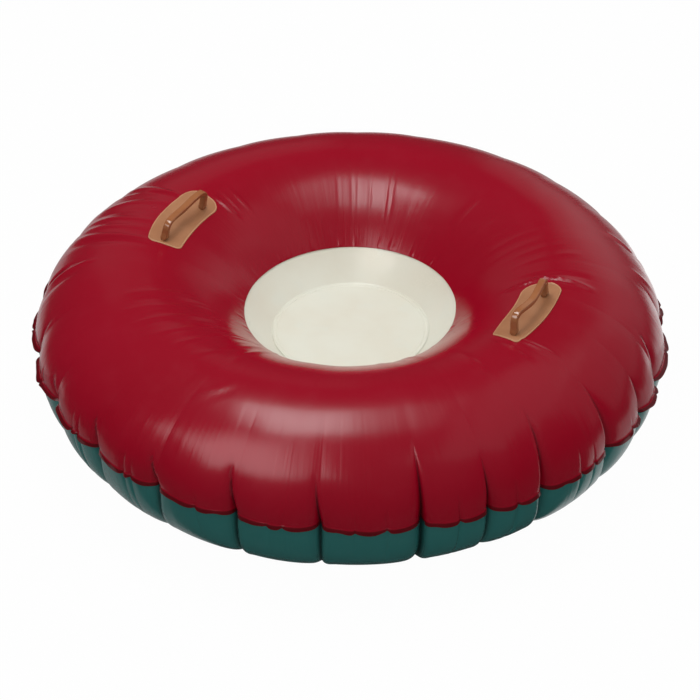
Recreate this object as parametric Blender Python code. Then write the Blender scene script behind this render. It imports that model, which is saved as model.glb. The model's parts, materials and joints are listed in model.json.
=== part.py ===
"""A snow tube: two welded vinyl skins round a ring of air, a sling seat hung in its hole,
two grab handles and an air valve with its flap and plug.

Lengths are in metres and angles in degrees. Z is up, the tube lies on z = 0, and its front,
where the creases are strongest, faces -Y. A section is a line of (radius, height) points.
"""

import math

import bmesh
import bpy
import numpy as np
from mathutils import Matrix, Vector

# Sheet, and the space left between welded pieces
SKIN_THICKNESS = 0.0008
WELD_GAP = 0.0003
CUT_OVERRUN = 0.010

# Ring of air
CHAMBER_RADIUS = 0.494
CROWN_RADIUS = 0.336
CROWN_HEIGHT = 0.247
CONTACT_WIDTH = 0.060
SHOULDER_POWER = 1.85
FLANK_POWER = 2.40
THROAT_POWER = 1.865
THROAT_SWEEP = 35.9
WELL_POWER = 2.2

# Outer seam: its hem, and the side on which it lies lower
SEAM_HEIGHT = 0.128
SEAM_LEAN = 0.012
SEAM_LEAN_AZIMUTH = 27.4
HEM_REACH = 0.006

# Creases that gather the skins at the outer seam
CREASE_AZIMUTHS = (
    -125.8, -111.3, -96.8, -82.4, -68.3, -51.5, -40.0, -29.3, -13.2, -0.4, 9.5, 24, 38,
    52, 65.5, 79, 101, 115, 129, 143, 158, 172, 187, 203, 219,
)
CREASE_LENGTH = 0.130
CREASE_LENGTH_SHARES = (
    0.50, 0.52, 0.62, 0.72, 0.60, 1.00, 0.68, 0.95, 0.70, 0.45, 0.60, 0.70, 0.50,
    0.80, 0.60, 0.35, 0.35, 0.65, 0.55, 0.80, 0.50, 0.70, 0.60, 0.85, 0.55,
)
CREASE_DEPTH = 0.0050
CREASE_FADE_POWER = 1.5
COLUMN_SHARES = (0, 1 / 3, 2 / 3)

# Where the rows of points lie along each curve of the section
SHOULDER_SHARES = (0.14, 0.34, 0.56, 0.78, 1.0)
THROAT_SHARES = (0.2, 0.45, 0.72, 1.0)
FLANK_SHARES = (0.2, 0.42, 0.64, 0.84, 1.0)
WELL_SHARES = (0, 0.35, 0.68, 1.0)

# Inner seam, and the sling seat that hangs from it
RIM_RADIUS = 0.168
RIM_HEIGHT = 0.153
RIM_HEM = 0.010
RIM_SETBACK = 0.003
RIM_FOLD = 0.002
SEAT_RADIUS = 0.1265
SEAT_HEIGHT = 0.109
SEAT_LAP = 0.0060
SEAT_FACETS = 64

# Handle patches, with square corners at the front end and round ones at the back; they run on
# past the grip's feet, further behind it than in front
LEFT_PATCH_RADIUS = 0.301
RIGHT_PATCH_RADIUS = 0.306
PATCH_FRONT_MARGIN = 0.013
PATCH_BACK_MARGIN = 0.032
PATCH_WIDTH = 0.062
PATCH_THICKNESS = 0.0010
PATCH_FRONT_ROUND = 0.009
PATCH_BACK_ROUND = 0.024
PATCH_ARC_POINTS = 6
PATCH_POINT_SPACING = 0.015

# Handle grips: a strap on two feet, with rounded soles that roll on the patch. The grips are
# parallel, with their middles ahead of the tube's and their rear ends turned towards +X
LEFT_GRIP_REACH = 0.289
RIGHT_GRIP_REACH = 0.311
GRIP_ADVANCE = 0.0205
GRIP_SKEW = 2.0
FOOT_SPACING = 0.110
FOOT_LENGTH = 0.012
FOOT_GAP = 0.0005
GRIP_WIDTH = 0.0105
GRIP_THICKNESS = 0.0080
GRIP_RISE = 0.0268
GRIP_DIP = 0.0045
GRIP_CORNER = 0.012
GRIP_SLANT = 0.001
GRIP_CHAMFER = 0.0018
LEFT_GRIP_LEAN = 13.0
RIGHT_GRIP_LEAN = 4.0
SOLE_ANGLES = (85, 60, 30)
CORNER_SHARES = (0, 0.25, 0.5, 0.75, 1.0)
BAR_SHARES = (0.72, 0.42, 0.14)

# Air valve on the rear shoulder
VALVE_AZIMUTH = 90.0
VALVE_RISE = 0.041
FLANGE_RADIUS = 0.020
FLANGE_THICKNESS = 0.0015
NECK_RADIUS = 0.0098
BORE_RADIUS = 0.0070
NECK_HEIGHT = 0.0050
SKIRT_DEPTH = 0.012
VALVE_FACETS = 32
HINGE_REACH = 0.0165
BARREL_RADIUS = 0.0014
LUG_WIDTH = 0.007
LUG_DEPTH = 0.0032
PLUG_CLEARANCE = 0.0004
PLUG_TAPER = 0.0012
PLUG_DEPTH = 0.005
HEAD_RADIUS = 0.0105
HEAD_THICKNESS = 0.0020
STRAP_WIDTH = 0.006
FLAP_LAP = 0.0012
FLAP_THICKNESS = 0.0007

SHARP_ANGLE = 38


def clear_scene():
    for obj in list(bpy.data.objects):
        bpy.data.objects.remove(obj, do_unlink=True)


def vinyl(name, red, green, blue, roughness):
    """A plain glossy sheet material; the colour is given as seen on a screen, from 0 to 255."""
    material = bpy.data.materials.new(name)
    material.use_nodes = True
    shader = material.node_tree.nodes["Principled BSDF"]
    colour = [((value / 255 + 0.055) / 1.055) ** 2.4 for value in (red, green, blue)]
    shader.inputs["Base Color"].default_value = (*colour, 1)
    shader.inputs["Roughness"].default_value = roughness
    shader.inputs["Metallic"].default_value = 0
    return material


def finished(name, bm, material, origin=(0, 0, 0)):
    """An object from a bmesh in world coordinates, with its origin moved to the point given."""
    bmesh.ops.recalc_face_normals(bm, faces=bm.faces)
    mesh = bpy.data.meshes.new(name)
    bm.to_mesh(mesh)
    bm.free()
    mesh.transform(Matrix.Translation(-Vector(origin)))
    mesh.shade_smooth()
    mesh.set_sharp_from_angle(angle=math.radians(SHARP_ANGLE))
    mesh.materials.append(material)
    obj = bpy.data.objects.new(name, mesh)
    obj.location = origin
    bpy.context.scene.collection.objects.link(obj)
    return obj


def helper(name, bm):
    """A cutter or guide, which isn't part of the object."""
    obj = finished(name, bm, None)
    obj.hide_render = True
    obj.display_type = "WIRE"
    return obj


def combine(obj, operation, other):
    modifier = obj.modifiers.new(f"{operation.lower()} {other.name}", "BOOLEAN")
    modifier.operation = operation
    modifier.solver = "EXACT"
    modifier.object = other


def column_places():
    """Each column's azimuth, and the length of the crease it lies in, zero on a bulge."""
    crease = np.array(CREASE_AZIMUTHS, float)
    step = np.diff(np.append(crease, crease[0] + 360))
    shares = np.array(COLUMN_SHARES)
    azimuth = crease[:, None] + step[:, None] * shares
    length = CREASE_LENGTH * np.array(CREASE_LENGTH_SHARES)[:, None] * (shares == 0)
    return np.radians(azimuth).ravel(), length.ravel()


AZIMUTH, CREASE_LENGTHS = column_places()


def seam_heights():
    return SEAM_HEIGHT - SEAM_LEAN * np.cos(AZIMUTH - math.radians(SEAM_LEAN_AZIMUTH))


def line_of(rows):
    """Rows of (radius, height), each the same all round or one value a column, as one array."""
    flat = np.ones(len(AZIMUTH))
    return np.array([np.stack([r * flat, z * flat], axis=-1) for r, z in rows])


def pinched(line):
    """The line with its creases pressed towards the axis, deepest at the hem."""
    step = np.linalg.norm(np.diff(line[1:], axis=0), axis=2)
    travel = np.concatenate([np.zeros((2, len(AZIMUTH))), np.cumsum(step, axis=0)])
    length = np.maximum(CREASE_LENGTHS, WELD_GAP)
    fade = np.clip(1 - travel / length, 0, 1) ** CREASE_FADE_POWER
    moved = line.copy()
    moved[..., 0] -= CREASE_DEPTH * fade * (CREASE_LENGTHS > 0)
    return moved


def offset(line, distance):
    """The line moved to the right of its direction, with mitred corners."""
    along = np.diff(line, axis=0)
    along /= np.linalg.norm(along, axis=2, keepdims=True)
    side = np.stack([along[..., 1], -along[..., 0]], axis=-1)
    before = np.concatenate([side[:1], side])
    after = np.concatenate([side, side[-1:]])
    mitre = (before + after) / (1 + np.sum(before * after, axis=2, keepdims=True))
    return line + distance * mitre


def throat_point(share):
    """Crown to rim: a stretch of an oval, flat at the crown and steepening to the rim."""
    sweep = math.radians(THROAT_SWEEP)
    power = 2 / THROAT_POWER
    across = (math.sin(share * sweep) / math.sin(sweep)) ** power
    down = (1 - math.cos(share * sweep) ** power) / (1 - math.cos(sweep) ** power)
    return (
        CROWN_RADIUS - (CROWN_RADIUS - RIM_RADIUS) * across,
        CROWN_HEIGHT - (CROWN_HEIGHT - RIM_HEIGHT) * down,
    )


def top_line():
    """The outside of the red skin: hem edge, seam, shoulder, crown, throat and rim."""
    seam = seam_heights()
    hem = seam + WELD_GAP / 2 + SKIN_THICKNESS
    rows = [(CHAMBER_RADIUS + HEM_REACH, hem), (CHAMBER_RADIUS, hem)]
    power = 2 / SHOULDER_POWER
    for share in SHOULDER_SHARES:
        turn = share * math.pi / 2
        r = CROWN_RADIUS + (CHAMBER_RADIUS - CROWN_RADIUS) * math.cos(turn) ** power
        rows.append((r, seam + (CROWN_HEIGHT - seam) * math.sin(turn) ** power))
    rows += [throat_point(share) for share in THROAT_SHARES]
    return pinched(line_of(rows))


def below_rim(depth, travel):
    """A point behind the seat's wall: its travel down the wall from the rim, and its depth."""
    rim = Vector((RIM_RADIUS, RIM_HEIGHT))
    down = (Vector((SEAT_RADIUS, SEAT_HEIGHT)) - rim).normalized()
    up = Vector((down.y, -down.x))
    return tuple(rim + down * travel - up * depth)


def bottom_line():
    """The outside of the green skin: hem edge, seam, flank, contact band, well, fold and hem."""
    seam = seam_heights()
    hem = seam - WELD_GAP / 2 - SKIN_THICKNESS
    rows = [(CHAMBER_RADIUS + HEM_REACH, hem), (CHAMBER_RADIUS, hem)]
    contact = CROWN_RADIUS + CONTACT_WIDTH / 2
    power = 2 / FLANK_POWER
    for share in FLANK_SHARES:
        turn = share * math.pi / 2
        r = contact + (CHAMBER_RADIUS - contact) * max(math.cos(turn), 0) ** power
        rows.append((r, seam * (1 - math.sin(turn) ** power)))
    contact = CROWN_RADIUS - CONTACT_WIDTH / 2
    depth = 3 * SKIN_THICKNESS + 3 * WELD_GAP
    top = below_rim(depth + RIM_FOLD, RIM_SETBACK)
    power = 2 / WELL_POWER
    for share in WELL_SHARES:
        turn = share * math.pi / 2
        r = contact - (contact - top[0]) * math.sin(turn) ** power
        rows.append((r, top[1] * (1 - max(math.cos(turn), 0) ** power)))
    rows.append(below_rim(depth, RIM_SETBACK))
    rows.append(below_rim(depth, RIM_SETBACK + RIM_HEM))
    return pinched(line_of(rows))


def grid_faces(first, rows):
    """Triangles of a grid that closes round its columns; each is split along the same diagonal."""
    count = len(AZIMUTH)
    row, column = np.mgrid[0 : rows - 1, 0:count]
    beside = (column + 1) % count
    a = first + row * count + column
    b = first + (row + 1) * count + column
    c = first + (row + 1) * count + beside
    d = first + row * count + beside
    return np.concatenate([np.stack([a, b, c], -1), np.stack([a, c, d], -1)]).reshape(-1, 3)


def ring_between(outer, inner):
    """A closed ring whose section lies between two lines of as many rows."""
    rows, count = outer.shape[:2]
    line = np.concatenate([outer, inner])
    x = line[..., 0] * np.cos(AZIMUTH)
    y = line[..., 0] * np.sin(AZIMUTH)
    points = np.stack([x, y, line[..., 1]], axis=-1).reshape(-1, 3)
    faces = [grid_faces(0, rows), grid_faces(rows * count, rows)[:, ::-1]]
    column = np.arange(count)
    beside = (column + 1) % count
    for row, turned in ((0, False), (rows - 1, True)):
        a, b = row * count + column, row * count + beside
        c, d = a + rows * count, b + rows * count
        end = np.concatenate([np.stack([a, b, d], -1), np.stack([a, d, c], -1)])
        faces.append(end[:, ::-1] if turned else end)
    bm = bmesh.new()
    vertices = [bm.verts.new(point) for point in points.tolist()]
    for face in np.concatenate(faces).tolist():
        bm.faces.new([vertices[index] for index in face])
    return bm


def envelope(name, distance, depth):
    """The space from a depth inside the red skin's outside up to a distance above it."""
    line = top_line()[1:]
    return helper(name, ring_between(offset(line, distance), offset(line, -depth)))


def prism(outline, low, high):
    """A closed plan outline, extruded from one height to another."""
    bm = bmesh.new()
    floor = bm.faces.new([bm.verts.new((x, y, low)) for x, y in outline])
    raised = bmesh.ops.extrude_face_region(bm, geom=[floor])["geom"]
    moved = [item for item in raised if isinstance(item, bmesh.types.BMVert)]
    bmesh.ops.translate(bm, vec=(0, 0, high - low), verts=moved)
    return bm


def cylinder(radius, low, high, frame, top_radius=None):
    """A round of the valve's facet count between two heights along a frame's Z."""
    bm = bmesh.new()
    centre = Matrix.Translation((0, 0, (low + high) / 2))
    bmesh.ops.create_cone(
        bm,
        cap_ends=True,
        segments=VALVE_FACETS,
        radius1=radius,
        radius2=radius if top_radius is None else top_radius,
        depth=high - low,
        matrix=frame @ centre,
    )
    return bm


def block(low, high, frame):
    """A box between two corners in a frame."""
    size = Vector(high) - Vector(low)
    centre = (Vector(high) + Vector(low)) / 2
    bm = bmesh.new()
    bmesh.ops.create_cube(
        bm, size=1, matrix=frame @ Matrix.Translation(centre) @ Matrix.Diagonal((*size, 1))
    )
    return bm


def seat_wall(material):
    """The cone of the sling: welded under the red skin's rim, its lap under the seat's floor."""
    rim = offset(top_line(), -SKIN_THICKNESS - WELD_GAP)[-2:]
    run = np.linalg.norm(rim[0] - rim[1], axis=1, keepdims=True)
    hem = rim[1] + (rim[0] - rim[1]) * RIM_HEM / run
    lap = SEAT_HEIGHT - SKIN_THICKNESS - WELD_GAP
    rows = line_of([(SEAT_RADIUS, lap), (SEAT_RADIUS - SEAT_LAP, lap)])
    line = np.concatenate([hem[None], rim[1:], rows])
    ring = ring_between(line, offset(line, -SKIN_THICKNESS))
    return finished("seat_wall", ring, material)


def seat_floor(material):
    """The flat disc of the sling, on the wall's lap."""
    radius = SEAT_RADIUS - SKIN_THICKNESS
    bm = bmesh.new()
    bmesh.ops.create_cone(
        bm,
        cap_ends=True,
        segments=SEAT_FACETS,
        radius1=radius,
        radius2=radius,
        depth=SKIN_THICKNESS,
        matrix=Matrix.Translation((0, 0, SEAT_HEIGHT - SKIN_THICKNESS / 2)),
    )
    return finished("seat_floor", bm, material)


def patch_frame(side, radius):
    """Level directions at a patch's middle: away from the tube's axis, and to its rear."""
    advance = GRIP_ADVANCE - (PATCH_BACK_MARGIN - PATCH_FRONT_MARGIN) / 2
    outward = Vector((side * math.sqrt(radius**2 - advance**2), -advance, 0)).normalized()
    return outward, Vector((-outward.y, outward.x, 0)) * side


def divided(points, longest):
    """A closed outline with points added, so that no side is longer than asked."""
    dense = []
    for start, end in zip(points, points[1:] + points[:1]):
        parts = math.ceil(math.dist(start, end) / longest)
        for part in range(parts):
            share = part / parts
            dense.append([s + (e - s) * share for s, e in zip(start, end)])
    return dense


def patch_outline(side, radius):
    """A band bent round the tube's axis, with small round corners in front, large behind."""
    outward, rearward = patch_frame(side, radius)
    length = FOOT_SPACING + PATCH_FRONT_MARGIN + PATCH_BACK_MARGIN
    corners = (
        (1, 1, PATCH_BACK_ROUND),
        (-1, 1, PATCH_FRONT_ROUND),
        (-1, -1, PATCH_FRONT_ROUND),
        (1, -1, PATCH_BACK_ROUND),
    )
    flat = []
    for quarter, (along, across, rounding) in enumerate(corners):
        centre_along = along * (length / 2 - rounding)
        centre_across = across * (PATCH_WIDTH / 2 - rounding)
        for step in range(PATCH_ARC_POINTS):
            turn = (quarter + step / (PATCH_ARC_POINTS - 1)) * math.pi / 2
            flat.append(
                (
                    centre_along + rounding * math.cos(turn),
                    centre_across + rounding * math.sin(turn),
                )
            )
    points = []
    for along, across in divided(flat, PATCH_POINT_SPACING):
        bend = along / radius
        place = (outward * math.cos(bend) + rearward * math.sin(bend)) * (radius + across)
        points.append((place.x, place.y))
    return points


def handle_patch(name, side, radius, over, under, material):
    """A vinyl patch welded on the crown: its outline cut from the layer over the red skin."""
    low = RIM_HEIGHT
    high = CROWN_HEIGHT + CUT_OVERRUN
    patch = finished(name, prism(patch_outline(side, radius), low, high), material)
    combine(patch, "INTERSECT", over)
    combine(patch, "DIFFERENCE", under)
    return patch


def crown_point(radius):
    """The red skin's height and its outward normal at a radius inside the crown."""
    line = top_line()[:, 0]
    line = line[np.argsort(line[:, 0])]
    height = np.interp(radius, line[:, 0], line[:, 1])
    reach = GRIP_WIDTH
    rise = np.interp(radius + reach, line[:, 0], line[:, 1])
    fall = np.interp(radius - reach, line[:, 0], line[:, 1])
    normal = Vector((float(fall - rise), 2 * reach)).normalized()
    return float(height), normal


def grip_path():
    """Half of the grip from sole to middle: (along, up, half thickness, half width) a station."""
    foot = FOOT_SPACING / 2
    half_width = GRIP_WIDTH / 2
    stations = []
    for angle in SOLE_ANGLES:
        turn = math.radians(angle)
        stations.append(
            (foot, -half_width * math.sin(turn), FOOT_LENGTH / 2, half_width * math.cos(turn))
        )
    stations.append((foot, 0, FOOT_LENGTH / 2, half_width))
    top = foot - GRIP_SLANT
    for share in CORNER_SHARES:
        turn = math.radians(90 * share)
        stations.append(
            (
                top - GRIP_CORNER * (1 - math.cos(turn)),
                GRIP_RISE - GRIP_CORNER * (1 - math.sin(turn)),
                GRIP_THICKNESS / 2,
                half_width,
            )
        )
    reach = top - GRIP_CORNER
    for share in BAR_SHARES:
        dip = GRIP_DIP * math.cos(share * math.pi / 2) ** 2
        stations.append((share * reach, GRIP_RISE - dip, GRIP_THICKNESS / 2, half_width))
    return stations


def chamfered(half_thickness, half_width):
    """Eight corners of a section: (through the thickness, across the width)."""
    cut = min(GRIP_CHAMFER, half_width / 2)
    a, b = half_thickness, half_width
    quarter = [(a, b - cut), (a - cut, b)]
    ring = []
    for sa, sb in ((1, 1), (-1, 1), (-1, -1), (1, -1)):
        pair = [(sa * x, sb * y) for x, y in quarter]
        ring += pair if sa * sb > 0 else pair[::-1]
    return ring


def sole_centre(side, reach, along):
    """Where a foot's sole turns, at a distance along the grip: it stands off the skin's normal."""
    aside = along * math.tan(math.radians(GRIP_SKEW))
    level = Vector((side * reach + aside, along - GRIP_ADVANCE, 0))
    height, normal = crown_point(level.length)
    stand = PATCH_THICKNESS + WELD_GAP + FOOT_GAP + GRIP_WIDTH / 2
    centre = level * (1 + normal.x * stand / level.length)
    centre.z = height + normal.y * stand
    return centre


def grip_frame(side, reach):
    """Middle of the line on which both soles roll, and the directions out, to the rear and up."""
    front = sole_centre(side, reach, -FOOT_SPACING / 2)
    rear = sole_centre(side, reach, FOOT_SPACING / 2)
    rearward = (rear - front).normalized()
    outward = rearward.cross(Vector((0, 0, side))).normalized()
    return (front + rear) / 2, outward, rearward, outward.cross(rearward) * side


def handle_grip(name, side, reach, lean, material):
    """The strap: its section carried up one leg, along the bar and down the other leg."""
    centre, outward, rearward, upward = grip_frame(side, reach)
    turn = math.radians(lean)
    up = upward * math.cos(turn) - outward * math.sin(turn)
    across = outward * math.cos(turn) + upward * math.sin(turn)
    half = grip_path()
    path = half + [(-along, rise, a, b) for along, rise, a, b in reversed(half)]
    flat = [Vector((along, rise)) for along, rise, _, _ in path]
    chord = math.sqrt(reach**2 - (FOOT_SPACING / 2) ** 2)
    bm = bmesh.new()
    rings = []
    for index, (along, rise, half_thickness, half_width) in enumerate(path):
        before = flat[max(index - 1, 0)]
        after = flat[min(index + 1, len(flat) - 1)]
        ahead = (after - before).normalized()
        if rise <= 0:
            ahead = Vector((0, math.copysign(1, ahead.y)))
        thick = rearward * ahead.y - up * ahead.x
        bow = math.sqrt(reach**2 - along**2) - chord if rise > 0 else 0
        middle = centre + rearward * along + up * rise + outward * bow
        ring = []
        for a, b in chamfered(half_thickness, half_width):
            ring.append(bm.verts.new(middle + thick * a + across * b))
        rings.append(ring)
    for first, second in zip(rings, rings[1:]):
        for index in range(len(first)):
            beside = (index + 1) % len(first)
            bm.faces.new((first[index], first[beside], second[beside], second[index]))
    bm.faces.new(rings[0])
    bm.faces.new(rings[-1])
    return finished(name, bm, material, centre)


def valve_frame():
    """Origin on the red skin at the valve, Z along the bore outwards, Y up the shoulder."""
    azimuth = math.radians(VALVE_AZIMUTH)
    turn = np.angle(np.exp(1j * (AZIMUTH - azimuth)))
    nearest = int(np.argmin(np.abs(turn)))
    line = top_line()[1 : len(SHOULDER_SHARES) + 2, nearest]
    height = seam_heights()[nearest] + VALVE_RISE
    row = int(np.searchsorted(line[:, 1], height))
    low, high = line[row - 1], line[row]
    share = (height - low[1]) / (high[1] - low[1])
    radius = low[0] + (high[0] - low[0]) * share
    outward = Vector((math.cos(azimuth), math.sin(azimuth), 0))
    centre = outward * float(radius * math.cos(turn[nearest]))
    centre.z = float(height)
    slope = outward * float(high[0] - low[0])
    slope.z = float(high[1] - low[1])
    slope.normalize()
    side = Vector((0, 0, 1)).cross(outward)
    normal = side.cross(slope)
    frame = Matrix((side, slope, normal)).transposed().to_4x4()
    frame.translation = centre
    return frame


def valve_levels():
    """Heights along the bore: the flange's top, the neck's top and the hinge's axis."""
    flange = WELD_GAP + FLANGE_THICKNESS
    neck = flange + NECK_HEIGHT
    return flange, neck, neck + WELD_GAP + HEAD_THICKNESS / 2


def valve_base(frame, over, under, material):
    """Flange on the skin, neck above it, skirt inside the ring, and the lug for the plug's strap."""
    flange, neck, axis = valve_levels()
    base = finished(
        "valve_base", cylinder(FLANGE_RADIUS, -CUT_OVERRUN, CUT_OVERRUN, frame), material
    )
    combine(base, "INTERSECT", over)
    combine(base, "DIFFERENCE", under)
    tube = helper("valve_tube", cylinder(NECK_RADIUS, -SKIRT_DEPTH, neck, frame))
    combine(base, "UNION", tube)
    lug_low = (-LUG_WIDTH / 2, HINGE_REACH - LUG_DEPTH / 2, WELD_GAP + FLANGE_THICKNESS / 2)
    lug_high = (LUG_WIDTH / 2, HINGE_REACH + LUG_DEPTH / 2, axis - BARREL_RADIUS - WELD_GAP)
    combine(base, "UNION", helper("valve_lug", block(lug_low, lug_high, frame)))
    bore = cylinder(BORE_RADIUS, -SKIRT_DEPTH - CUT_OVERRUN, neck + CUT_OVERRUN, frame)
    combine(base, "DIFFERENCE", helper("valve_bore", bore))
    return base


def valve_plug(frame, material):
    """Tapered plug, its round head, and the strap with the barrel it turns on."""
    _, neck, axis = valve_levels()
    low = neck + WELD_GAP
    high = low + HEAD_THICKNESS
    origin = frame @ Vector((0, HINGE_REACH, axis))
    plug = finished("valve_plug", cylinder(HEAD_RADIUS, low, high, frame), material, origin)
    top_radius = BORE_RADIUS - PLUG_CLEARANCE
    stem = cylinder(
        top_radius - PLUG_TAPER, neck - PLUG_DEPTH, low + HEAD_THICKNESS / 2, frame, top_radius
    )
    combine(plug, "UNION", helper("plug_stem", stem))
    half = STRAP_WIDTH / 2
    strap = block(
        (-half, HEAD_RADIUS / 2, axis - BARREL_RADIUS / 2),
        (half, HINGE_REACH, axis + BARREL_RADIUS / 2),
        frame,
    )
    combine(plug, "UNION", helper("plug_strap", strap))
    hinge = frame @ Matrix.Translation((0, HINGE_REACH, axis))
    barrel = hinge @ Matrix.Rotation(math.pi / 2, 4, "Y")
    combine(plug, "UNION", helper("plug_barrel", cylinder(BARREL_RADIUS, -half, half, barrel)))
    return plug


def valve_flap(frame, material):
    """The one-way disc that closes the skirt's inner end, turning on its upper edge."""
    high = -SKIRT_DEPTH - WELD_GAP
    radius = BORE_RADIUS + FLAP_LAP
    disc = cylinder(radius, high - FLAP_THICKNESS, high, frame)
    return finished("valve_flap", disc, material, frame @ Vector((0, radius, high)))


def build():
    clear_scene()
    crimson = vinyl("crimson vinyl", 146, 16, 38, 0.28)
    green = vinyl("green vinyl", 44, 84, 82, 0.30)
    cream = vinyl("cream vinyl", 220, 215, 198, 0.35)
    tan = vinyl("tan vinyl", 164, 113, 78, 0.38)
    clear = vinyl("milky vinyl", 205, 205, 198, 0.30)

    top = top_line()
    bottom = bottom_line()
    top_skin = finished("top_skin", ring_between(top, offset(top, -SKIN_THICKNESS)), crimson)
    finished("bottom_skin", ring_between(bottom, offset(bottom, SKIN_THICKNESS)), green)
    seat_wall(cream)
    seat_floor(cream)

    under = envelope("above_skin", WELD_GAP, CUT_OVERRUN)
    over = envelope("above_patch", WELD_GAP + PATCH_THICKNESS, CUT_OVERRUN / 2)
    handles = (
        ("left", -1, LEFT_PATCH_RADIUS, LEFT_GRIP_REACH, LEFT_GRIP_LEAN),
        ("right", 1, RIGHT_PATCH_RADIUS, RIGHT_GRIP_REACH, RIGHT_GRIP_LEAN),
    )
    for word, side, radius, reach, lean in handles:
        handle_patch(f"{word}_handle_patch", side, radius, over, under, tan)
        handle_grip(f"{word}_handle_grip", side, reach, lean, tan)

    frame = valve_frame()
    above_flange = envelope("above_flange", WELD_GAP + FLANGE_THICKNESS, CUT_OVERRUN / 2)
    valve_base(frame, above_flange, under, crimson)
    hole = cylinder(NECK_RADIUS + WELD_GAP, -CUT_OVERRUN, CUT_OVERRUN, frame)
    combine(top_skin, "DIFFERENCE", helper("valve_hole", hole))
    valve_plug(frame, clear)
    valve_flap(frame, clear)


build()
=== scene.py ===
# %% [markdown]
# # A snow tube, dressed
#
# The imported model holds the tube's pieces as plain solids at their true size. This script
# keeps all of them where they are and lays finer surfaces over the soft ones: two welded
# vinyl skins that pucker at their seam, a sling seat, two handles on their patches and a
# valve. Each surface is a formula on a grid, so every fold below can be read as numbers.

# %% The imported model, loaded as a fixed frame
import json
import math

import bmesh
import bpy
import numpy as np
from mathutils import Matrix, Vector


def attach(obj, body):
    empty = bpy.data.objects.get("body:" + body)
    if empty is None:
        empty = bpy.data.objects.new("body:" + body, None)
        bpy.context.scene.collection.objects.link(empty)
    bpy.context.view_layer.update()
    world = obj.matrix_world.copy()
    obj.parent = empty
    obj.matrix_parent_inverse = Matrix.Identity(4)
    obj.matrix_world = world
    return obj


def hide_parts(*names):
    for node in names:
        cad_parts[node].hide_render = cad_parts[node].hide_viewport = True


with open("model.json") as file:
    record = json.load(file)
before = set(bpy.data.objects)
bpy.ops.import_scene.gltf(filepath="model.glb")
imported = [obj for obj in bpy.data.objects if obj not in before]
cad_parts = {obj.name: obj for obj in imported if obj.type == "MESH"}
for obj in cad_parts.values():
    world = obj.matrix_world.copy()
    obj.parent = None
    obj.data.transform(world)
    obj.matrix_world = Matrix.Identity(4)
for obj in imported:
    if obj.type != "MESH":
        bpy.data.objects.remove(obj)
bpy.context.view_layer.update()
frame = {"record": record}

# %% [markdown]
# ## The tube's own sizes
#
# The ring of air is two sheets welded together at an outer seam, and the lower one runs in
# under the seat. A section through it is an oval: shoulder and crown above, throat towards
# the hole, flank and flat contact band below. Lengths are in metres and match the solids.

# %% Sizes of the ring and its seams
SKIN = 0.0008
GAP = 0.0003
CHAMBER_RADIUS = 0.494
CROWN_RADIUS = 0.336
CROWN_HEIGHT = 0.247
CONTACT_HALF = 0.030
SHOULDER_POWER = 1.85
THROAT_POWER = 1.865
THROAT_SWEEP = math.radians(35.9)
FLANK_POWER = 2.40
WELL_POWER = 2.2
SEAM_HEIGHT = 0.131
SEAM_LEAN = 0.014
SEAM_LEAN_TURN = math.radians(27.4)
RIM_RADIUS = 0.168
RIM_HEIGHT = 0.153
RIM_HEM = 0.010
RIM_SETBACK = 0.003
RIM_FOLD = 0.002
SEAT_RADIUS = 0.1265
SEAT_HEIGHT = 0.109
SEAT_LAP = 0.006
HALF_WELD = GAP / 2 + SKIN

# %% [markdown]
# ## Places on a grid
#
# A grid of points needs to be close only where the surface turns quickly. Cutting the
# running total of a crowding function into equal steps gives such places, and it works
# as well for columns round the ring as for rows up its section.

# %% Crowded places, and small formulas that all pieces use
def crowded(low, high, count, crowding):
    """Count + 1 places from low to high, as close to each other as crowding says."""
    fine = np.linspace(low, high, 40001)
    total = np.concatenate([[0], np.cumsum(crowding(fine))[:-1]])
    return np.interp(np.linspace(0, total[-1], count + 1), total, fine)


def wrapped(turn):
    """The same angle, between minus half a turn and half a turn."""
    return (turn + np.pi) % (2 * np.pi) - np.pi


def eased(value, start, end):
    """0 before start and 1 past end, with a smooth S between them."""
    share = np.clip((value - start) / (end - start), 0, 1)
    return share * share * (3 - 2 * share)


def bell(value, width):
    """1 where the value is 0, falling smoothly on both sides: exp(-(value / width) squared)."""
    return np.exp(-((value / width) ** 2))


def together(*parts):
    """Numbers or arrays side by side along a new last axis, as x, y and z are in a point."""
    return np.stack(np.broadcast_arrays(*parts), axis=-1)


def unit(vector):
    """The same direction with length 1."""
    return vector / np.linalg.norm(vector, axis=-1, keepdims=True)


# %% [markdown]
# ## Where the skins are gathered
#
# A flat ring of sheet has more edge than the inflated tube has seam, so the spare length
# gathers in creases. Each crease has a place round the tube, a length up the shoulder, a
# depth, a lean and a steep side; small tucks lie between them.

# %% Creases and tucks
# Turn in degrees, length and depth in mm, lean in degrees, and 1 or -1 for the steep side
CREASES = np.array([
    (-126.5, 50, 8, -3.6, 1), (-111.8, 64, 9, -2, 1), (-97.2, 60, 8.5, -2.2, 1),
    (-82.5, 92, 11, -1.8, 1), (-68.2, 80, 9.5, -1, 1), (-51.5, 125, 13, 0, 1),
    (-40, 85, 9, 0, -1), (-29.5, 130, 13, 1.5, -1), (-13.5, 108, 11.5, 0, -1),
    (-1.8, 66, 7.5, 0, -1), (7.2, 98, 10, 3, -1), (24, 90, 9, 1, -1), (38, 100, 10, -1, -1),
    (52, 100, 10, 1.5, 1), (65.5, 80, 9, 0, -1), (79, 50, 7, -1, -1), (101, 50, 7, 1, 1),
    (115, 85, 9, 0.5, 1), (129, 70, 8.5, -1.5, -1), (143, 100, 10, 1, 1), (158, 85, 8.5, 0, -1),
    (172, 110, 10.5, -1, 1), (187, 100, 10, 1, 1), (203, 120, 11, -1, -1), (219, 80, 9, -2, 1),
])
CREASE_TURNS = np.radians(CREASES[:, 0])
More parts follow.
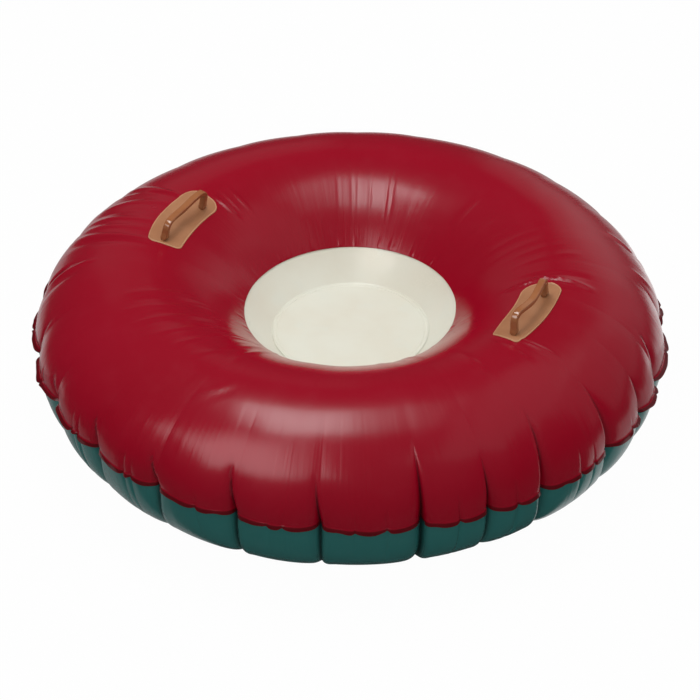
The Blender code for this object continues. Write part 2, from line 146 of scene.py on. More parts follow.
TUCK_TURNS = np.radians([
    -133.5, -118.6, -117, -104, -102.4, -89.1, -76.8, -74.2, -62.6, -57.4, -45.5, -35, -21.5, -18,
    -6.5, 4.5, 17, 31, 45, 59, 72, 94, 108, 122, 136, 150, 165, 180, 195, 211,
])
COLUMNS = 1040


def column_crowding(turn):
    """1, plus a peak at each crease and each tuck: times exp(-distance / reach), in turns."""
    crowding = 1
    for places, times, reach in ((CREASE_TURNS, 7, 0.010), (TUCK_TURNS, 4, 0.006)):
        crowding = crowding + times * np.exp(-np.abs(wrapped(turn[:, None] - places)) / reach).sum(axis=1)
    return crowding


turns = crowded(-np.pi, np.pi, COLUMNS, column_crowding)[:-1]
steps = np.diff(np.append(turns, turns[0] + 2 * np.pi)) * CHAMBER_RADIUS * 1000
print("columns are", round(steps.min(), 2), "to", round(steps.max(), 2), "mm apart at the seam")

# %% [markdown]
# ## Relief of the skins
#
# What a fold does to a skin is a push along the smooth skin's own outward direction. The
# pushes are added up: lobes that bulge between creases, the creases themselves, tucks,
# long strokes where the sheet is pulled, and a faint unevenness.

# %% Lobes, creases and tucks
LOBE_DEPTH = 0.0095
LOBE_LEVEL = 0.62
LOBE_POWER = 2.2
LOBE_FADE = 0.048
CREASE_SCALE = 1.2
GENTLE_SIDE = 0.0058
STEEP_SIDE = 0.0024
TUCK_LENGTH = 0.024
TUCK_DEPTH = 0.0034
TUCK_SIDES = (0.004, 0.0014)
FOLD_TIP = 0.30
FOLD_SPREAD = 0.80
FOLD_ROUNDING = 0.25
RIDGE_PLACE = 3.6
RIDGE_WIDTH = 1.7
RIDGE_SHARE = 0.16


def lobe(turn):
    """1 in the middle between two creases, falling to 0 at both, as a taut cushion's edge."""
    order = np.sort(CREASE_TURNS % (2 * np.pi))
    order = np.concatenate([[order[-1] - 2 * np.pi], order, [order[0] + 2 * np.pi]])
    place = turn % (2 * np.pi)
    after = np.searchsorted(order, place, side="right")
    left, right = order[after - 1], order[np.minimum(after, len(order) - 1)]
    across = 2 * (place - left) / (right - left) - 1
    return 1 - np.abs(across) ** LOBE_POWER


def fold(across, reach, side, gentle, steep):
    """A valley of depth 1: exp(-distance / width), wide on its gentle side and narrow on its
    steep one, with a rounded bottom. A low ridge stands beyond the steep side."""
    width = np.where(across * side < 0, gentle, steep) * (FOLD_TIP + FOLD_SPREAD * reach)
    rounding = FOLD_ROUNDING * width
    valley = np.exp(-(np.sqrt(across**2 + rounding**2) - rounding) / width)
    ridge = bell(across * side - RIDGE_PLACE * steep, RIDGE_WIDTH * steep)
    return valley - RIDGE_SHARE * ridge * (1 - reach**2)


def by_creases(turn, rise, radius):
    """For each crease: how near its foot a place is, 1 to 0, how far aside, its depth and side."""
    for degrees, length, depth, lean, side in CREASES:
        way = rise / (length / 1000)
        across = radius * wrapped(turn - math.radians(degrees) - math.radians(lean) * way)
        yield np.clip(1 - way, 0, 1), across, depth / 1000, side


def gathers(turn, rise, radius, widening=1.0, lobe_rise=None):
    """Push of all creases and tucks at a height along the skin above (or below) the seam."""
    fade = np.exp(-(rise if lobe_rise is None else lobe_rise) / LOBE_FADE)
    push = LOBE_DEPTH * (lobe(turn) - LOBE_LEVEL) * fade
    for reach, across, depth, side in by_creases(turn, rise, radius):
        valley = fold(across, reach, side, GENTLE_SIDE * widening, STEEP_SIDE * widening)
        push = push - CREASE_SCALE * depth * reach**1.5 * valley
    for index, place in enumerate(TUCK_TURNS):
        size = 0.6 + 0.4 * math.sin(7 * index)
        reach = np.clip(1 - rise / (TUCK_LENGTH * (0.6 + size)), 0, 1)
        side = 1 if index % 2 else -1
        valley = fold(radius * wrapped(turn - place), reach, side, *TUCK_SIDES)
        push = push - TUCK_DEPTH * size * reach * valley
    return push


def crease_shade(turn, rise, radius, width):
    """How deep in a crease a place lies: 1 on its line near the seam and 0 away from it. The skins' finish
    uses it as the mask for painted shade in the creases.
    """
    shade = 0
    for reach, across, _, _ in by_creases(turn, rise, radius):
        shade = np.maximum(shade, eased(reach, 0, 0.6) * bell(across, width * (0.4 + 0.6 * reach)))
    return shade


pushes = 1000 * gathers(turns, 0 * turns, CHAMBER_RADIUS)
print("gathers at the seam:", round(pushes.min(), 1), "to", round(pushes.max(), 1), "mm off the circle")

# %% [markdown]
# ## A faint unevenness
#
# No sheet is cut and welded perfectly. A sum of slow waves with drawn turns, paces and
# starts keeps long reflections from being ruled lines. The hems and the seat have theirs.

# %% Slow waves
WAVE_COUNT = 26
WAVE_HEIGHT = 0.0003
draw = np.random.default_rng(8)
wave_turns = draw.integers(3, 22, WAVE_COUNT)
wave_paces = draw.uniform(-22, 22, WAVE_COUNT)
wave_starts = draw.uniform(0, 2 * np.pi, WAVE_COUNT)


def unevenness(turn, rise):
    """A sum of slow waves, each a cosine of turn and rise together."""
    waves = zip(wave_turns, wave_paces, wave_starts)
    total = sum(np.cos(count * turn + pace * rise + start) for count, pace, start in waves)
    return WAVE_HEIGHT * total / math.sqrt(WAVE_COUNT / 2)


def drawn_waves(seed, low, high, number):
    """Waves that go round the tube a whole number of times, each with its start."""
    draw = np.random.default_rng(seed)
    return [(int(count), draw.uniform(0, 2 * np.pi)) for count in draw.integers(low, high, number)]


def summed(turn, waves):
    """The sum of their cosines."""
    return sum(np.cos(count * turn + start) for count, start in waves)


uneven = 1000 * unevenness(turns, 0)
print("along the seam the unevenness is", round(uneven.min(), 2), "to", round(uneven.max(), 2), "mm")

# %% [markdown]
# ## The red skin's section
#
# The shoulder is a quarter of a superellipse from the seam to the crown, and the throat
# is a stretch of another one that steepens to the rim. One number, the way, runs from 0
# at the seam over 1 at the crown to 2 at the rim.

# %% The red section, and its length
def seam(turn):
    """Height of the weld: the tube lies a little lower on one side."""
    return SEAM_HEIGHT - SEAM_LEAN * np.cos(turn - SEAM_LEAN_TURN)


def quarter(way, power):
    """Across and up on a quarter of a superellipse: (1, 0) at way 0 and (0, 1) at way 1."""
    turn = np.clip(way, 0, 1) * np.pi / 2
    return np.cos(turn).clip(0) ** (2 / power), np.sin(turn) ** (2 / power)


def red_section(turn, way):
    """Radius and height of the smooth skin: two superellipse stretches end to end."""
    foot = seam(turn) + HALF_WELD
    across, up = quarter(way, SHOULDER_POWER)
    radius = CROWN_RADIUS + (CHAMBER_RADIUS - CROWN_RADIUS) * across
    height = foot + (CROWN_HEIGHT - foot) * up
    down = np.clip(way - 1, 0, 1) * THROAT_SWEEP
    power = 2 / THROAT_POWER
    inward = (np.sin(down) / math.sin(THROAT_SWEEP)) ** power
    drop = (1 - np.cos(down) ** power) / (1 - math.cos(THROAT_SWEEP) ** power)
    radius = radius - (CROWN_RADIUS - RIM_RADIUS) * inward
    height = height - (CROWN_HEIGHT - RIM_HEIGHT) * drop
    return radius, height


def run_of(section, ways):
    """Length along a section from its start, at each way, where the seam is at mid height."""
    radius, height = section(SEAM_LEAN_TURN + np.pi / 2, ways)
    step = np.hypot(np.diff(radius), np.diff(height))
    return np.concatenate([[0], np.cumsum(step)])


red_ways = np.linspace(0, 2, 4001)
red_runs = run_of(red_section, red_ways)
RED_LENGTH = red_runs[-1]
print("the red skin is", round(1000 * RED_LENGTH), "mm from seam to rim")

# %% [markdown]
# ## Long folds on the red skin
#
# Welding the handles and the lip pulls on the sheet, so folds fan out from them. Each is a
# stroke from one place to another. A place is a turn round the tube in degrees and a run
# along the skin from the seam, and two more numbers give the height and the width. All
# lengths are in millimetres here. They were judged.

# %% Strokes
STROKE_SCALE = 1.45 / 1000
STROKE_SPREAD = 1.2 / 1000
ARCH_POWER = 0.8
STROKES = [
    # Over the left shoulder, up to the left patch
    (171, 30, 173.2, 235, 1.5, 5.5), (173.8, 40, 174.4, 220, -1.2, 5),
    (176.2, 60, 172, 215, 1.1, 5), (181.8, 50, 177.4, 225, 1.5, 6), (184, 60, 183, 200, -1, 5),
    (185.6, 60, 187.4, 220, 1.3, 5.5), (188.8, 70, 191.2, 215, 1.2, 4.5),
    (191, 50, 197.6, 255, 2, 5.5), (193.6, 60, 198.8, 230, -1.3, 6), (205, 30, 203.6, 150, 1.6, 5),
    (208, 20, 206, 130, -1.2, 6), (166, 245, 165.2, 310, 1.4, 3.2),
    (163.6, 240, 163.4, 320, -0.9, 3.5), (160, 240, 158, 330, 0.7, 4),
    # Across the crown on the left, towards the lip
    (221.6, 190, 222.4, 320, 0.8, 4.5), (225.2, 200, 226.6, 310, -0.6, 4),
    (228, 180, 230.6, 290, 0.8, 4.5), (234, 180, 236.4, 345, 0.9, 4.5),
    (237.6, 210, 240.2, 350, -0.7, 4), (240.4, 190, 245.4, 360, 0.9, 4.5),
    (247.2, 200, 250.4, 310, 0.8, 4), (253.4, 210, 260.6, 300, 0.7, 4),
    (262.6, 150, 270.6, 205, 0.45, 4), (263.6, 140, 271.4, 190, -0.4, 3.5),
    (263.6, 230, 263.2, 370, 0.9, 5), (258, 280, 256.4, 400, 0.8, 4.5),
    (251, 300, 250.6, 400, -0.8, 4.5), (223.4, 215, 224.6, 335, 0.5, 3),
    (226.8, 225, 228.8, 345, -0.45, 3), (230.6, 205, 233, 330, 0.5, 3),
    (232.4, 240, 235.4, 360, 0.45, 2.8), (236, 200, 238.4, 320, -0.5, 3),
    (243.6, 215, 247.8, 365, 0.5, 3), (244.8, 250, 249.2, 385, -0.45, 2.8),
    # Round the right patch
    (11.2, 312, 15.9, 238, 3, 3.2), (15.9, 262, 13, 164, 3, 3.2), (12.6, 250, 12, 185, 1.3, 3),
    (17.6, 300, 17, 170, -1.2, 5), (344.3, 235, 347.2, 150, 1.4, 3.6),
    (341.6, 245, 342.6, 170, -0.8, 4), (330.6, 270, 330, 185, 0.7, 4.5),
    # Down the throat at the back
    (115.9, 262, 115.4, 372, -0.3, 2.2), (113.5, 268, 113.2, 362, -0.22, 2),
    (109.1, 262, 107.6, 375, -0.34, 2.4), (102.9, 262, 100.3, 370, -0.3, 2.2),
    (100.9, 258, 97.8, 366, -0.34, 2.2), (121, 270, 121.4, 360, -0.22, 2.4),
    # Fans of the rear, and of the lip on the right
    (41.8, 345, 40.4, 235, 0.5, 4.5), (47.6, 350, 46, 250, 0.35, 4.5),
    (36, 340, 35.4, 230, 0.4, 4.5), (24.8, 310, 27.2, 185, 0.6, 4.5),
    (30.6, 320, 31.4, 210, 0.4, 4.5), (57, 340, 55, 260, 0.5, 5), (68, 335, 67, 255, 0.5, 5),
    (322, 300, 320, 400, 0.8, 4.5), (315, 290, 314, 400, -0.7, 4.5),
    (309, 300, 308.4, 400, 0.6, 4.5), (40.4, 130, 35.6, 20, 1.4, 5),
    (27.8, 110, 27.8, 20, 1.4, 4.5),
]


def strokes(turn, run):
    """Sum of soft ridges: each is a bell across its line and an arch along it."""
    push = 0
    for from_turn, from_run, to_turn, to_run, height, width in STROKES:
        middle = np.interp((from_run + to_run) / 2000, red_runs, red_ways)
        radius = red_section(0.0, middle)[0]
        line_x, line_y = radius * math.radians(to_turn - from_turn), (to_run - from_run) / 1000
        length = math.hypot(line_x, line_y)
        x, y = radius * wrapped(turn - math.radians(from_turn)), run - from_run / 1000
        along = (x * line_x + y * line_y) / length**2
        across = (x * line_y - y * line_x) / length
        arch = np.sin(np.pi * np.clip(along, 0, 1)) ** ARCH_POWER
        push = push + STROKE_SCALE * height * arch * bell(across, STROKE_SPREAD * width)
    return push


print(len(STROKES), "strokes")

# %% [markdown]
# ## Ripples at the lip
#
# The red sheet ends in a weld on the stiff edge of the seat, which is a little shorter than
# the sheet. The spare length stands up in short radial wrinkles, of drawn places and sizes.

# %% Ripples
RIPPLE_COUNT = 74
RIPPLE_WIDTH = 0.0022
RIPPLE_END = RED_LENGTH - 0.004
draw = np.random.default_rng(21)
ripple_turns = np.sort(draw.uniform(0, 2 * np.pi, RIPPLE_COUNT))
ripple_heights = draw.uniform(0.00025, 0.0008, RIPPLE_COUNT)
ripple_lengths = draw.uniform(0.012, 0.030, RIPPLE_COUNT)


def lip_ripples(turn, run):
    """Short radial wrinkles where the sheet is welded to the seat's wall."""
    push = 0
    for place, height, length in zip(ripple_turns, ripple_heights, ripple_lengths):
        arch = eased(run, RED_LENGTH - length, RIPPLE_END) * (1 - eased(run, RIPPLE_END, RED_LENGTH))
        push = push + height * arch * bell(RIM_RADIUS * wrapped(turn - place), RIPPLE_WIDTH)
    return push


print(RIPPLE_COUNT, "ripples, up to", round(1000 * ripple_heights.max(), 2), "mm high")

# %% [markdown]
# ## The valve's seat
#
# The valve's flange is flat and lies on the rear shoulder. The skin under it is pulled
# flat; the real skin has a round hole for the neck, which is not cut here.

# %% Valve frame and the flat place round it
VALVE_ORIGIN = np.array([0, 0.4798, 0.16281])
VALVE_ACROSS = np.array([-1.0, 0, 0])
VALVE_UP = np.array([0, -0.47499, 0.87999])
VALVE_OUT = np.array([0, 0.87999, 0.47499])
FLANGE_RADIUS = 0.020
NECK_RADIUS = 0.0098
FLAT_REACH = 0.016


def flattened(points):
    """The points, with those near the valve's axis brought down to the flange's plane."""
    away = points - VALVE_ORIGIN
    height = away @ VALVE_OUT
    aside = np.sqrt(np.maximum((away**2).sum(axis=-1) - height**2, 0))
    near = (1 - eased(aside, FLANGE_RADIUS, FLANGE_RADIUS + FLAT_REACH)) * (height > -0.05)
    return points - (near * height)[..., None] * VALVE_OUT


print("the valve's flange is", round(1000 * VALVE_ORIGIN[2]), "mm up the rear shoulder")

# %% [markdown]
# ## A skin as one formula
#
# The section says where the smooth skin is, and its normal says which way is out. Any push
# is measured along that normal, so folds stand square on the sheet all the way up.

# %% The red skin
WAY_STEP = 1e-4


def in_space(turn, radius, height):
    """The point at a turn round the tube's axis, at a radius and a height."""
    return together(radius * np.cos(turn), radius * np.sin(turn), height)


def pushed(section, turn, way, last_way, side, push):
    """The section's points, each moved by a push along the outward normal of the section.
    The normal is the step ahead along the section, turned by a quarter to its side."""
    before = together(*section(turn, np.clip(way - WAY_STEP, 0, last_way)))
    after = together(*section(turn, np.clip(way + WAY_STEP, 0, last_way)))
    ahead = unit(after - before)
    radius, height = section(turn, way)
    return in_space(turn, radius + side * push * ahead[..., 1], height - side * push * ahead[..., 0])


def red_skin(turn, way):
    """A point of the red skin: the smooth section with its gathers, strokes and ripples."""
    turn, way = np.broadcast_arrays(turn, way)
    run = np.interp(way, red_ways, red_runs)
    push = gathers(turn, run, red_section(turn, way)[0]) + strokes(turn, run) + lip_ripples(turn, run)
    push = push + unevenness(turn, run) * eased(run, 0, 0.03)
    return flattened(pushed(red_section, turn, way, 2, 1, push))


crown = red_skin(turns, 1.0)[:, 2]
print("the crown is", round(1000 * crown.min()), "to", round(1000 * crown.max()), "mm high")

# %% [markdown]
# ## Hems
#
# Outside the seam both sheets run on for a few millimetres as a hem. It droops, and its
# free edge is wavy because it was cut a little longer than the seam.

# %% The hem's droop and reach
HEM_REACH = 0.0068
HEM_DROOP = math.radians(76)
HEM_SIDE_LIFT = math.radians(56)
HEM_SIDES = (0.74, 0.96)
HEM_FLUTTER = math.radians(11)
HEM_WANDER = 0.0016
HEM_BEND = 0.0016
BEND_OUT = 0.6
BEND_UP = 0.25
NOTCH_WIDTH = 0.0036
NOTCH_DEPTH = 0.0022
HEM_WAVES = drawn_waves(3, 32, 130, 14)


def notches(turn):
    """1 where a tuck or a crease is caught in the weld, and 0 between."""
    caught = np.concatenate([TUCK_TURNS, CREASE_TURNS])
    return bell(CHAMBER_RADIUS * wrapped(turn[..., None] - caught), NOTCH_WIDTH).sum(axis=-1)


def hem(turn, share, side):
    """A point of a hem: share 1 is its free edge and 0 the seam; side is 1 for red, -1 for
    green. It turns down within HEM_BEND of the seam and runs on straight at its droop."""
    turn, share = np.broadcast_arrays(turn, share)
    wave = summed(turn, HEM_WAVES) / math.sqrt(len(HEM_WAVES))
    aside = np.abs(np.cos(turn - SEAM_LEAN_TURN))
    droop = HEM_DROOP - HEM_SIDE_LIFT * eased(aside, *HEM_SIDES) + HEM_FLUTTER * wave
    length = (HEM_REACH + HEM_WANDER * wave - NOTCH_DEPTH * notches(turn)) * share
    turned = droop * (1 - np.exp(-length / HEM_BEND))
    radius = CHAMBER_RADIUS + gathers(turn, np.zeros_like(turn), CHAMBER_RADIUS)
    out = length * np.cos(droop) + BEND_OUT * HEM_BEND * (1 - np.cos(turned))
    radius = radius + out + side * HALF_WELD * np.sin(turned)
    height = seam(turn) - length * np.sin(droop) * (1 - BEND_UP * np.exp(-length / HEM_BEND))
    return in_space(turn, radius, height + side * HALF_WELD * np.cos(turned))


hem_edge = 1000 * np.linalg.norm(hem(turns, 1.0, 1)[:, :2], axis=-1)
print("the hem's edge is", round(hem_edge.min()), "to", round(hem_edge.max()), "mm from the axis")


# %% [markdown]
# ## From points to a mesh
#
# Each piece is an array of rows and columns of points. A sheet becomes a closed shell by
# running back along its inner side, which lies a skin's thickness in along the normals.
# The inner side is never seen closely, so it uses fewer rows.

# %% Normals, shells and meshes
scene = bpy.context.scene
WELD_DISTANCE = 2e-6
SHARP_EDGE = math.radians(50)


def normals(points):
    """Unit normals of a round grid, from the steps to its neighbours along rows and columns."""
    along = np.roll(points, -1, axis=1) - np.roll(points, 1, axis=1)
    return unit(np.cross(along, np.gradient(points, axis=0)))


def shell(points, thickness, inner_rows):
    """Rows of the outer side, then those of the inner side back to the start."""
    inner = points - thickness * normals(points)
    return np.concatenate([points, inner[inner_rows][::-1]])


def grid_faces(rows, columns, round_rows, round_columns):
    """Quads between neighbouring rows and columns, joined round where asked."""
    row, column = np.mgrid[0 : rows - (not round_rows), 0 : columns - (not round_columns)]
    next_row, next_column = (row + 1) % rows, (column + 1) % columns
    corners = [(row, column), (row, next_column), (next_row, next_column), (next_row, column)]
    return np.stack([r * columns + c for r, c in corners], axis=-1).reshape(-1, 4)


def volume_of(points, faces):
    """Six times a quad's share is a x b . c + a x c . d. It is negative for an inside-out grid."""
    a, b, c, d = (points[faces[:, k]] for k in range(4))
    return float((np.cross(a, b) * c + np.cross(a, c) * d).sum() / 6)


def put_in_scene(name, data):
    """A new object in the scene."""
    made = bpy.data.objects.new(name, data)
    scene.collection.objects.link(made)
    return made


def piece(name, blocks, material, stored=()):
    """One object from one or more closed grids: (points, round rows, round columns) each.
    Stored are names and values, one for each point, for its finish to read."""
    all_points, all_faces, first = [], [], 0
    for points, round_rows, round_columns in blocks:
        faces = grid_faces(*points.shape[:2], round_rows, round_columns)
        flat = points.reshape(-1, 3)
        if volume_of(flat, faces) < 0:
            faces = faces[:, ::-1]
        all_points.append(flat)
        all_faces.append(faces + first)
        first += len(flat)
    points, faces = np.concatenate(all_points), np.concatenate(all_faces)
    mesh = bpy.data.meshes.new(name)
    mesh.from_pydata(points, [], faces)
    for label, values in dict(stored).items():
        kind, field = ("FLOAT_VECTOR", "vector") if values.ndim == 2 else ("FLOAT", "value")
        attribute = mesh.attributes.new(label, kind, "POINT")
        attribute.data.foreach_set(field, values.astype(np.float32).ravel())
    welded = bmesh.new()
    welded.from_mesh(mesh)
    bmesh.ops.remove_doubles(welded, verts=welded.verts, dist=WELD_DISTANCE)
    welded.to_mesh(mesh)
    welded.free()
    mesh.validate()
    mesh.shade_smooth()
    mesh.set_sharp_from_angle(angle=SHARP_EDGE)
    mesh.materials.append(material)
    print(f"{name}: {len(points)} points, {2 * len(faces)} triangles")
    return put_in_scene(name, mesh)


def stands_for(made, body, node):
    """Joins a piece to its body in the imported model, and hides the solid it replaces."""
    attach(made, body)
    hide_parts(node)


# %% [markdown]
# ## Writing a finish
#
# A finish is a tree of shader nodes. One small class wraps an output socket, so that the
# sums between patterns read as sums, and another holds the tree and adds any node by its
# type, its settings and the values or links of its sockets.

# %% Sockets with arithmetic, and a finish
class Level:
    """A number that varies over a surface."""

    def __init__(self, finish, socket):
        self.finish, self.socket = finish, socket

    def maths(self, operation, first, second):
        """A new level from two levels or numbers."""
        node = self.finish.node("ShaderNodeMath", {"operation": operation}, {0: first, 1: second})
        return Level(self.finish, node.outputs[0])

    def __add__(self, other):
        return self.maths("ADD", self, other)

    __radd__ = __add__

    def __mul__(self, other):
        return self.maths("MULTIPLY", self, other)

    __rmul__ = __mul__

    def __rsub__(self, other):
        return self.maths("SUBTRACT", other, self)


class Finish:
    """A tree of shader nodes, of a new material or of the world."""

    def __init__(self, name, owners=bpy.data.materials):
        self.owner = owners.new(name)
        self.owner.use_nodes = True
        self.tree = self.owner.node_tree

    def put(self, socket, value):
        """Links a level or an output to a socket, or writes a plain value in it."""
        value = value.socket if isinstance(value, Level) else value
        if isinstance(value, bpy.types.NodeSocket):
            self.tree.links.new(value, socket)
        else:
            socket.default_value = value

    def node(self, kind, settings, values):
        """A new node of any kind."""
        made = self.tree.nodes.new(kind)
        for name, value in settings.items():
            setattr(made, name, value)
        for name, value in values.items():
            self.put(made.inputs[name], value)
        return made

    def place(self):
        """Where a point lies on the object, in metres."""
        return self.node("ShaderNodeTexCoord", {}, {}).outputs["Object"]

    def stored(self, name, output):
        """What the mesh stores for a point under a name."""
        return self.node("ShaderNodeAttribute", {"attribute_name": name}, {}).outputs[output]

    def third(self, vector):
        """The last of a vector's three numbers."""
        return Level(self, self.node("ShaderNodeSeparateXYZ", {}, {0: vector}).outputs["Z"])

    def stretched(self, vector, scale):
        """A place with each of its numbers multiplied."""
        return self.node("ShaderNodeMapping", {}, {"Vector": vector, "Scale": scale}).outputs[0]

    def noise(self, vector, scale, detail=2.0, roughness=0.5):
        """A random pattern between 0 and 1, with a scale in spots to the metre."""
        values = {"Vector": vector, "Scale": scale, "Detail": detail, "Roughness": roughness}
        return Level(self, self.node("ShaderNodeTexNoise", {}, values).outputs[0])

    def ramp(self, level, low, high):
        """0 below low and 1 above high."""
        values = {"Value": level, "From Min": low, "From Max": high}
        settings = {"interpolation_type": "SMOOTHSTEP"}
        return Level(self, self.node("ShaderNodeMapRange", settings, values).outputs[0])

    def mixed(self, share, first, second):
        """The first colour where the share is 0 and the second where it is 1."""
        node = self.node("ShaderNodeMix", {"data_type": "RGBA"}, {0: share, 6: first, 7: second})
        return node.outputs[2]

    def bumped(self, height, distance, under=None):
        """A normal tilted by the slope of a height, where 1 stands for a distance in metres."""
        values = {"Height": height, "Distance": distance}
        if under is not None:
            values["Normal"] = under
        return self.node("ShaderNodeBump", {}, values).outputs[0]

    def done(self, colour, roughness, mirror, normal, coat=0.0, coat_roughness=0.03):
        """Fills the shader's sockets, and gives the finished material."""
        values = {
            "Base Color": colour, "Roughness": roughness, "Specular IOR Level": mirror, "Normal": normal,
            "Coat Weight": coat, "Coat Roughness": coat_roughness,
        }
        for name, value in values.items():
            self.put(self.tree.nodes["Principled BSDF"].inputs[name], value)
        return self.owner


def screen(red, green, blue):
    """A colour given as it shows on a screen, 0 to 255, as the linear one that shaders use.
    The curve and its straight foot are those of the sRGB standard."""
    levels = [v / 255 for v in (red, green, blue)]
    return (*[((v + 0.055) / 1.055) ** 2.4 if v > 0.04 else v / 12.92 for v in levels], 1)


# %% [markdown]
# ## Glossy sheet
#
# Both skins are the same kind of sheet in two colours. Close up it has a faint orange-peel
# grain. From a step away one sees fine pleats that run up the section, because the sheet
# is drawn in at both seams, and they break every reflection into streaks.

# %% The skins' finish
PLEAT_HEIGHT = 0.00035


def skin_finish(name, deep, pale, scuffed, shade, dark, mirror):
    """Clouds between two colours, scuffs, painted shade on the drooping hem and in the creases, pleats and
    peel.
    """
    finish = Finish(name)
    lay, place = finish.stored("lay", "Vector"), finish.place()
    run = finish.third(lay)
    cloud = finish.noise(place, 5.0, 3.0)
    scuff = finish.ramp(finish.noise(place, 30.0, 3.0, 0.5), 0.45, 0.95)
    colour = finish.mixed(cloud, deep, pale)
    colour = finish.mixed(scuff * 0.12, colour, scuffed)
    # Painted shade: the hem is darker because it droops and faces down, away from the light.
    colour = finish.mixed(finish.ramp(run, -0.0004, -0.0022), colour, shade)
    # Painted shade: the creases are darkened, most near the seam, where shade falls in them; they also turn
    # rougher there.
    depth = Level(finish, finish.stored("fold", "Fac"))
    colour = finish.mixed(depth * 0.85, colour, dark)
    drawn = 0.35 + 0.65 * (1 - finish.ramp(run, 0.05, 0.19)) + 0.3 * finish.ramp(run, 0.30, 0.40)
    pleats = finish.noise(finish.stretched(lay, (1, 1, 0.05)), 150.0, 2.0, 0.5)
    broad = finish.noise(finish.stretched(lay, (1, 1, 0.12)), 40.0, 1.0)
    peel = finish.noise(place, 900.0, 1.0)
    normal = finish.bumped(peel, 0.000012)
    normal = finish.bumped((pleats + 2.0 * broad) * drawn, PLEAT_HEIGHT, normal)
    return finish.done(colour, 0.20 + 0.05 * cloud + 0.06 * scuff + 0.30 * depth, mirror, normal, 0.05, 0.12)


red_vinyl = skin_finish(
    "red vinyl",
    screen(138, 1, 24), screen(145, 1, 30), screen(152, 10, 40), screen(90, 1, 12), screen(48, 1, 6),
    0.32,
)
green_vinyl = skin_finish(
    "green vinyl",
    screen(37, 96, 93), screen(43, 103, 99), screen(70, 120, 116), screen(24, 64, 62), screen(10, 34, 33),
    0.30,
)
print("skin finishes:", red_vinyl.name, green_vinyl.name)

# %% [markdown]
# ## The red skin
#
# Rows are close at the seam, where the creases are sharp, and at the rim. The outer side
# runs from the hem's free edge in to the seam, up the shoulder, over the crown and down
# to the rim. The vector named lay stores turn and run for patterns that follow the sheet.

# %% Rows of the red skin, and the skin
RED_ROWS = 72
SHADE_WIDTH = 0.0022
HEM_SHARES = np.array([1.0, 0.86, 0.66, 0.46, 0.28, 0.12])
FIRST_INNER_ROWS = [0, 2, 4, 8, 12]
hem_runs = -HEM_REACH * HEM_SHARES


def red_crowding(run):
    """Rows crowd at the seam and, less so, at the rim."""
    return 1 + 3.2 * np.exp(-run / 0.030) + 2 * np.exp((run - RED_LENGTH) / 0.012)


def spread_rows(last):
    """Eleven rows for the inner side, evenly spread between the hem's rows and the last one."""
    return np.linspace(16, last, 11).astype(int)


def skin_values(runs, inner_rows, pace, width):
    """What a skin's finish reads at each point: its lay, and how deep in a crease it is, which masks the
    painted crease shade.
    """
    lay = in_space(turns, CHAMBER_RADIUS, runs[:, None])
    shade = crease_shade(turns, np.maximum(runs[:, None], 0) * pace, CHAMBER_RADIUS, width)
    return {
        "lay": np.concatenate([lay, lay[inner_rows][::-1]]).reshape(-1, 3),
        "fold": np.concatenate([shade, shade[inner_rows][::-1]]).ravel(),
    }


red_run_rows = crowded(0, RED_LENGTH, RED_ROWS, red_crowding)
red_way_rows = np.interp(red_run_rows, red_runs, red_ways)
red_outer = np.concatenate([hem(turns, HEM_SHARES[:, None], 1), red_skin(turns, red_way_rows[:, None])])
red_inner_rows = np.unique([*FIRST_INNER_ROWS, *spread_rows(len(red_outer) - 1)])
red_piece = piece(
    "red_skin",
    [(shell(red_outer, SKIN, red_inner_rows), True, True)],
    red_vinyl,
    skin_values(np.concatenate([hem_runs, red_run_rows]), red_inner_rows, 1.0, SHADE_WIDTH),
)
stands_for(red_piece, "tube", "top_skin")

# %% [markdown]
# ## The green skin
#
# The lower sheet runs from its own hem down the flank, lies flat on the ground in a narrow
# band, and climbs the well to a small fold, where it is welded behind the seat's wall.

# %% The green section
WALL_DOWN = unit(np.array([SEAT_RADIUS - RIM_RADIUS, SEAT_HEIGHT - RIM_HEIGHT]))
WALL_UP = np.array([WALL_DOWN[1], -WALL_DOWN[0]])


def behind_wall(depth, travel):
    """A place behind the seat's wall: its travel down the wall from the rim, and its depth."""
    return np.array([RIM_RADIUS, RIM_HEIGHT]) + WALL_DOWN * travel - WALL_UP * depth


GREEN_WIDENING = 1.25
GREEN_CREASE_PACE = 0.30
GREEN_LOBE_PACE = 0.8
GROUND_CLEARANCE = 0.022
WELD_DEPTH = 3 * SKIN + 3 * GAP
WELL_TOP = behind_wall(WELD_DEPTH + RIM_FOLD, RIM_SETBACK)


def green_section(turn, way):
    """Radius and height: way 0 to 1 is the flank, to 2 the contact band and to 3 the well."""
    foot = seam(turn) - HALF_WELD
    outer = CROWN_RADIUS + CONTACT_HALF
    across, down = quarter(way, FLANK_POWER)
    radius = outer + (CHAMBER_RADIUS - outer) * across - 2 * CONTACT_HALF * np.clip(way - 1, 0, 1)
    across, inward = quarter(way - 2, WELL_POWER)
    radius = radius - (outer - 2 * CONTACT_HALF - WELL_TOP[0]) * inward
    return radius, foot * (1 - down) + WELL_TOP[1] * (1 - across)


green_ways = np.linspace(0, 3, 6001)
green_runs = run_of(green_section, green_ways)
GREEN_LENGTH = green_runs[-1]


def green_skin(turn, way):
    """A point of the green skin: its creases fade out towards the ground and the well."""
    turn, way = np.broadcast_arrays(turn, way)
    radius, height = green_section(turn, way)
    run = np.interp(way, green_ways, green_runs)
    start = eased(run, 0, 0.03)
    widening = 1 + (GREEN_WIDENING - 1) * start
    push = gathers(turn, run * GREEN_CREASE_PACE, radius, widening, run * GREEN_LOBE_PACE) * (way < 1)
    push = push + unevenness(turn, -run) * start
    push = push * eased(height, 0.0, GROUND_CLEARANCE) * (1 - eased(way, 2.7, 3))
    return pushed(green_section, turn, way, 3, -1, push)


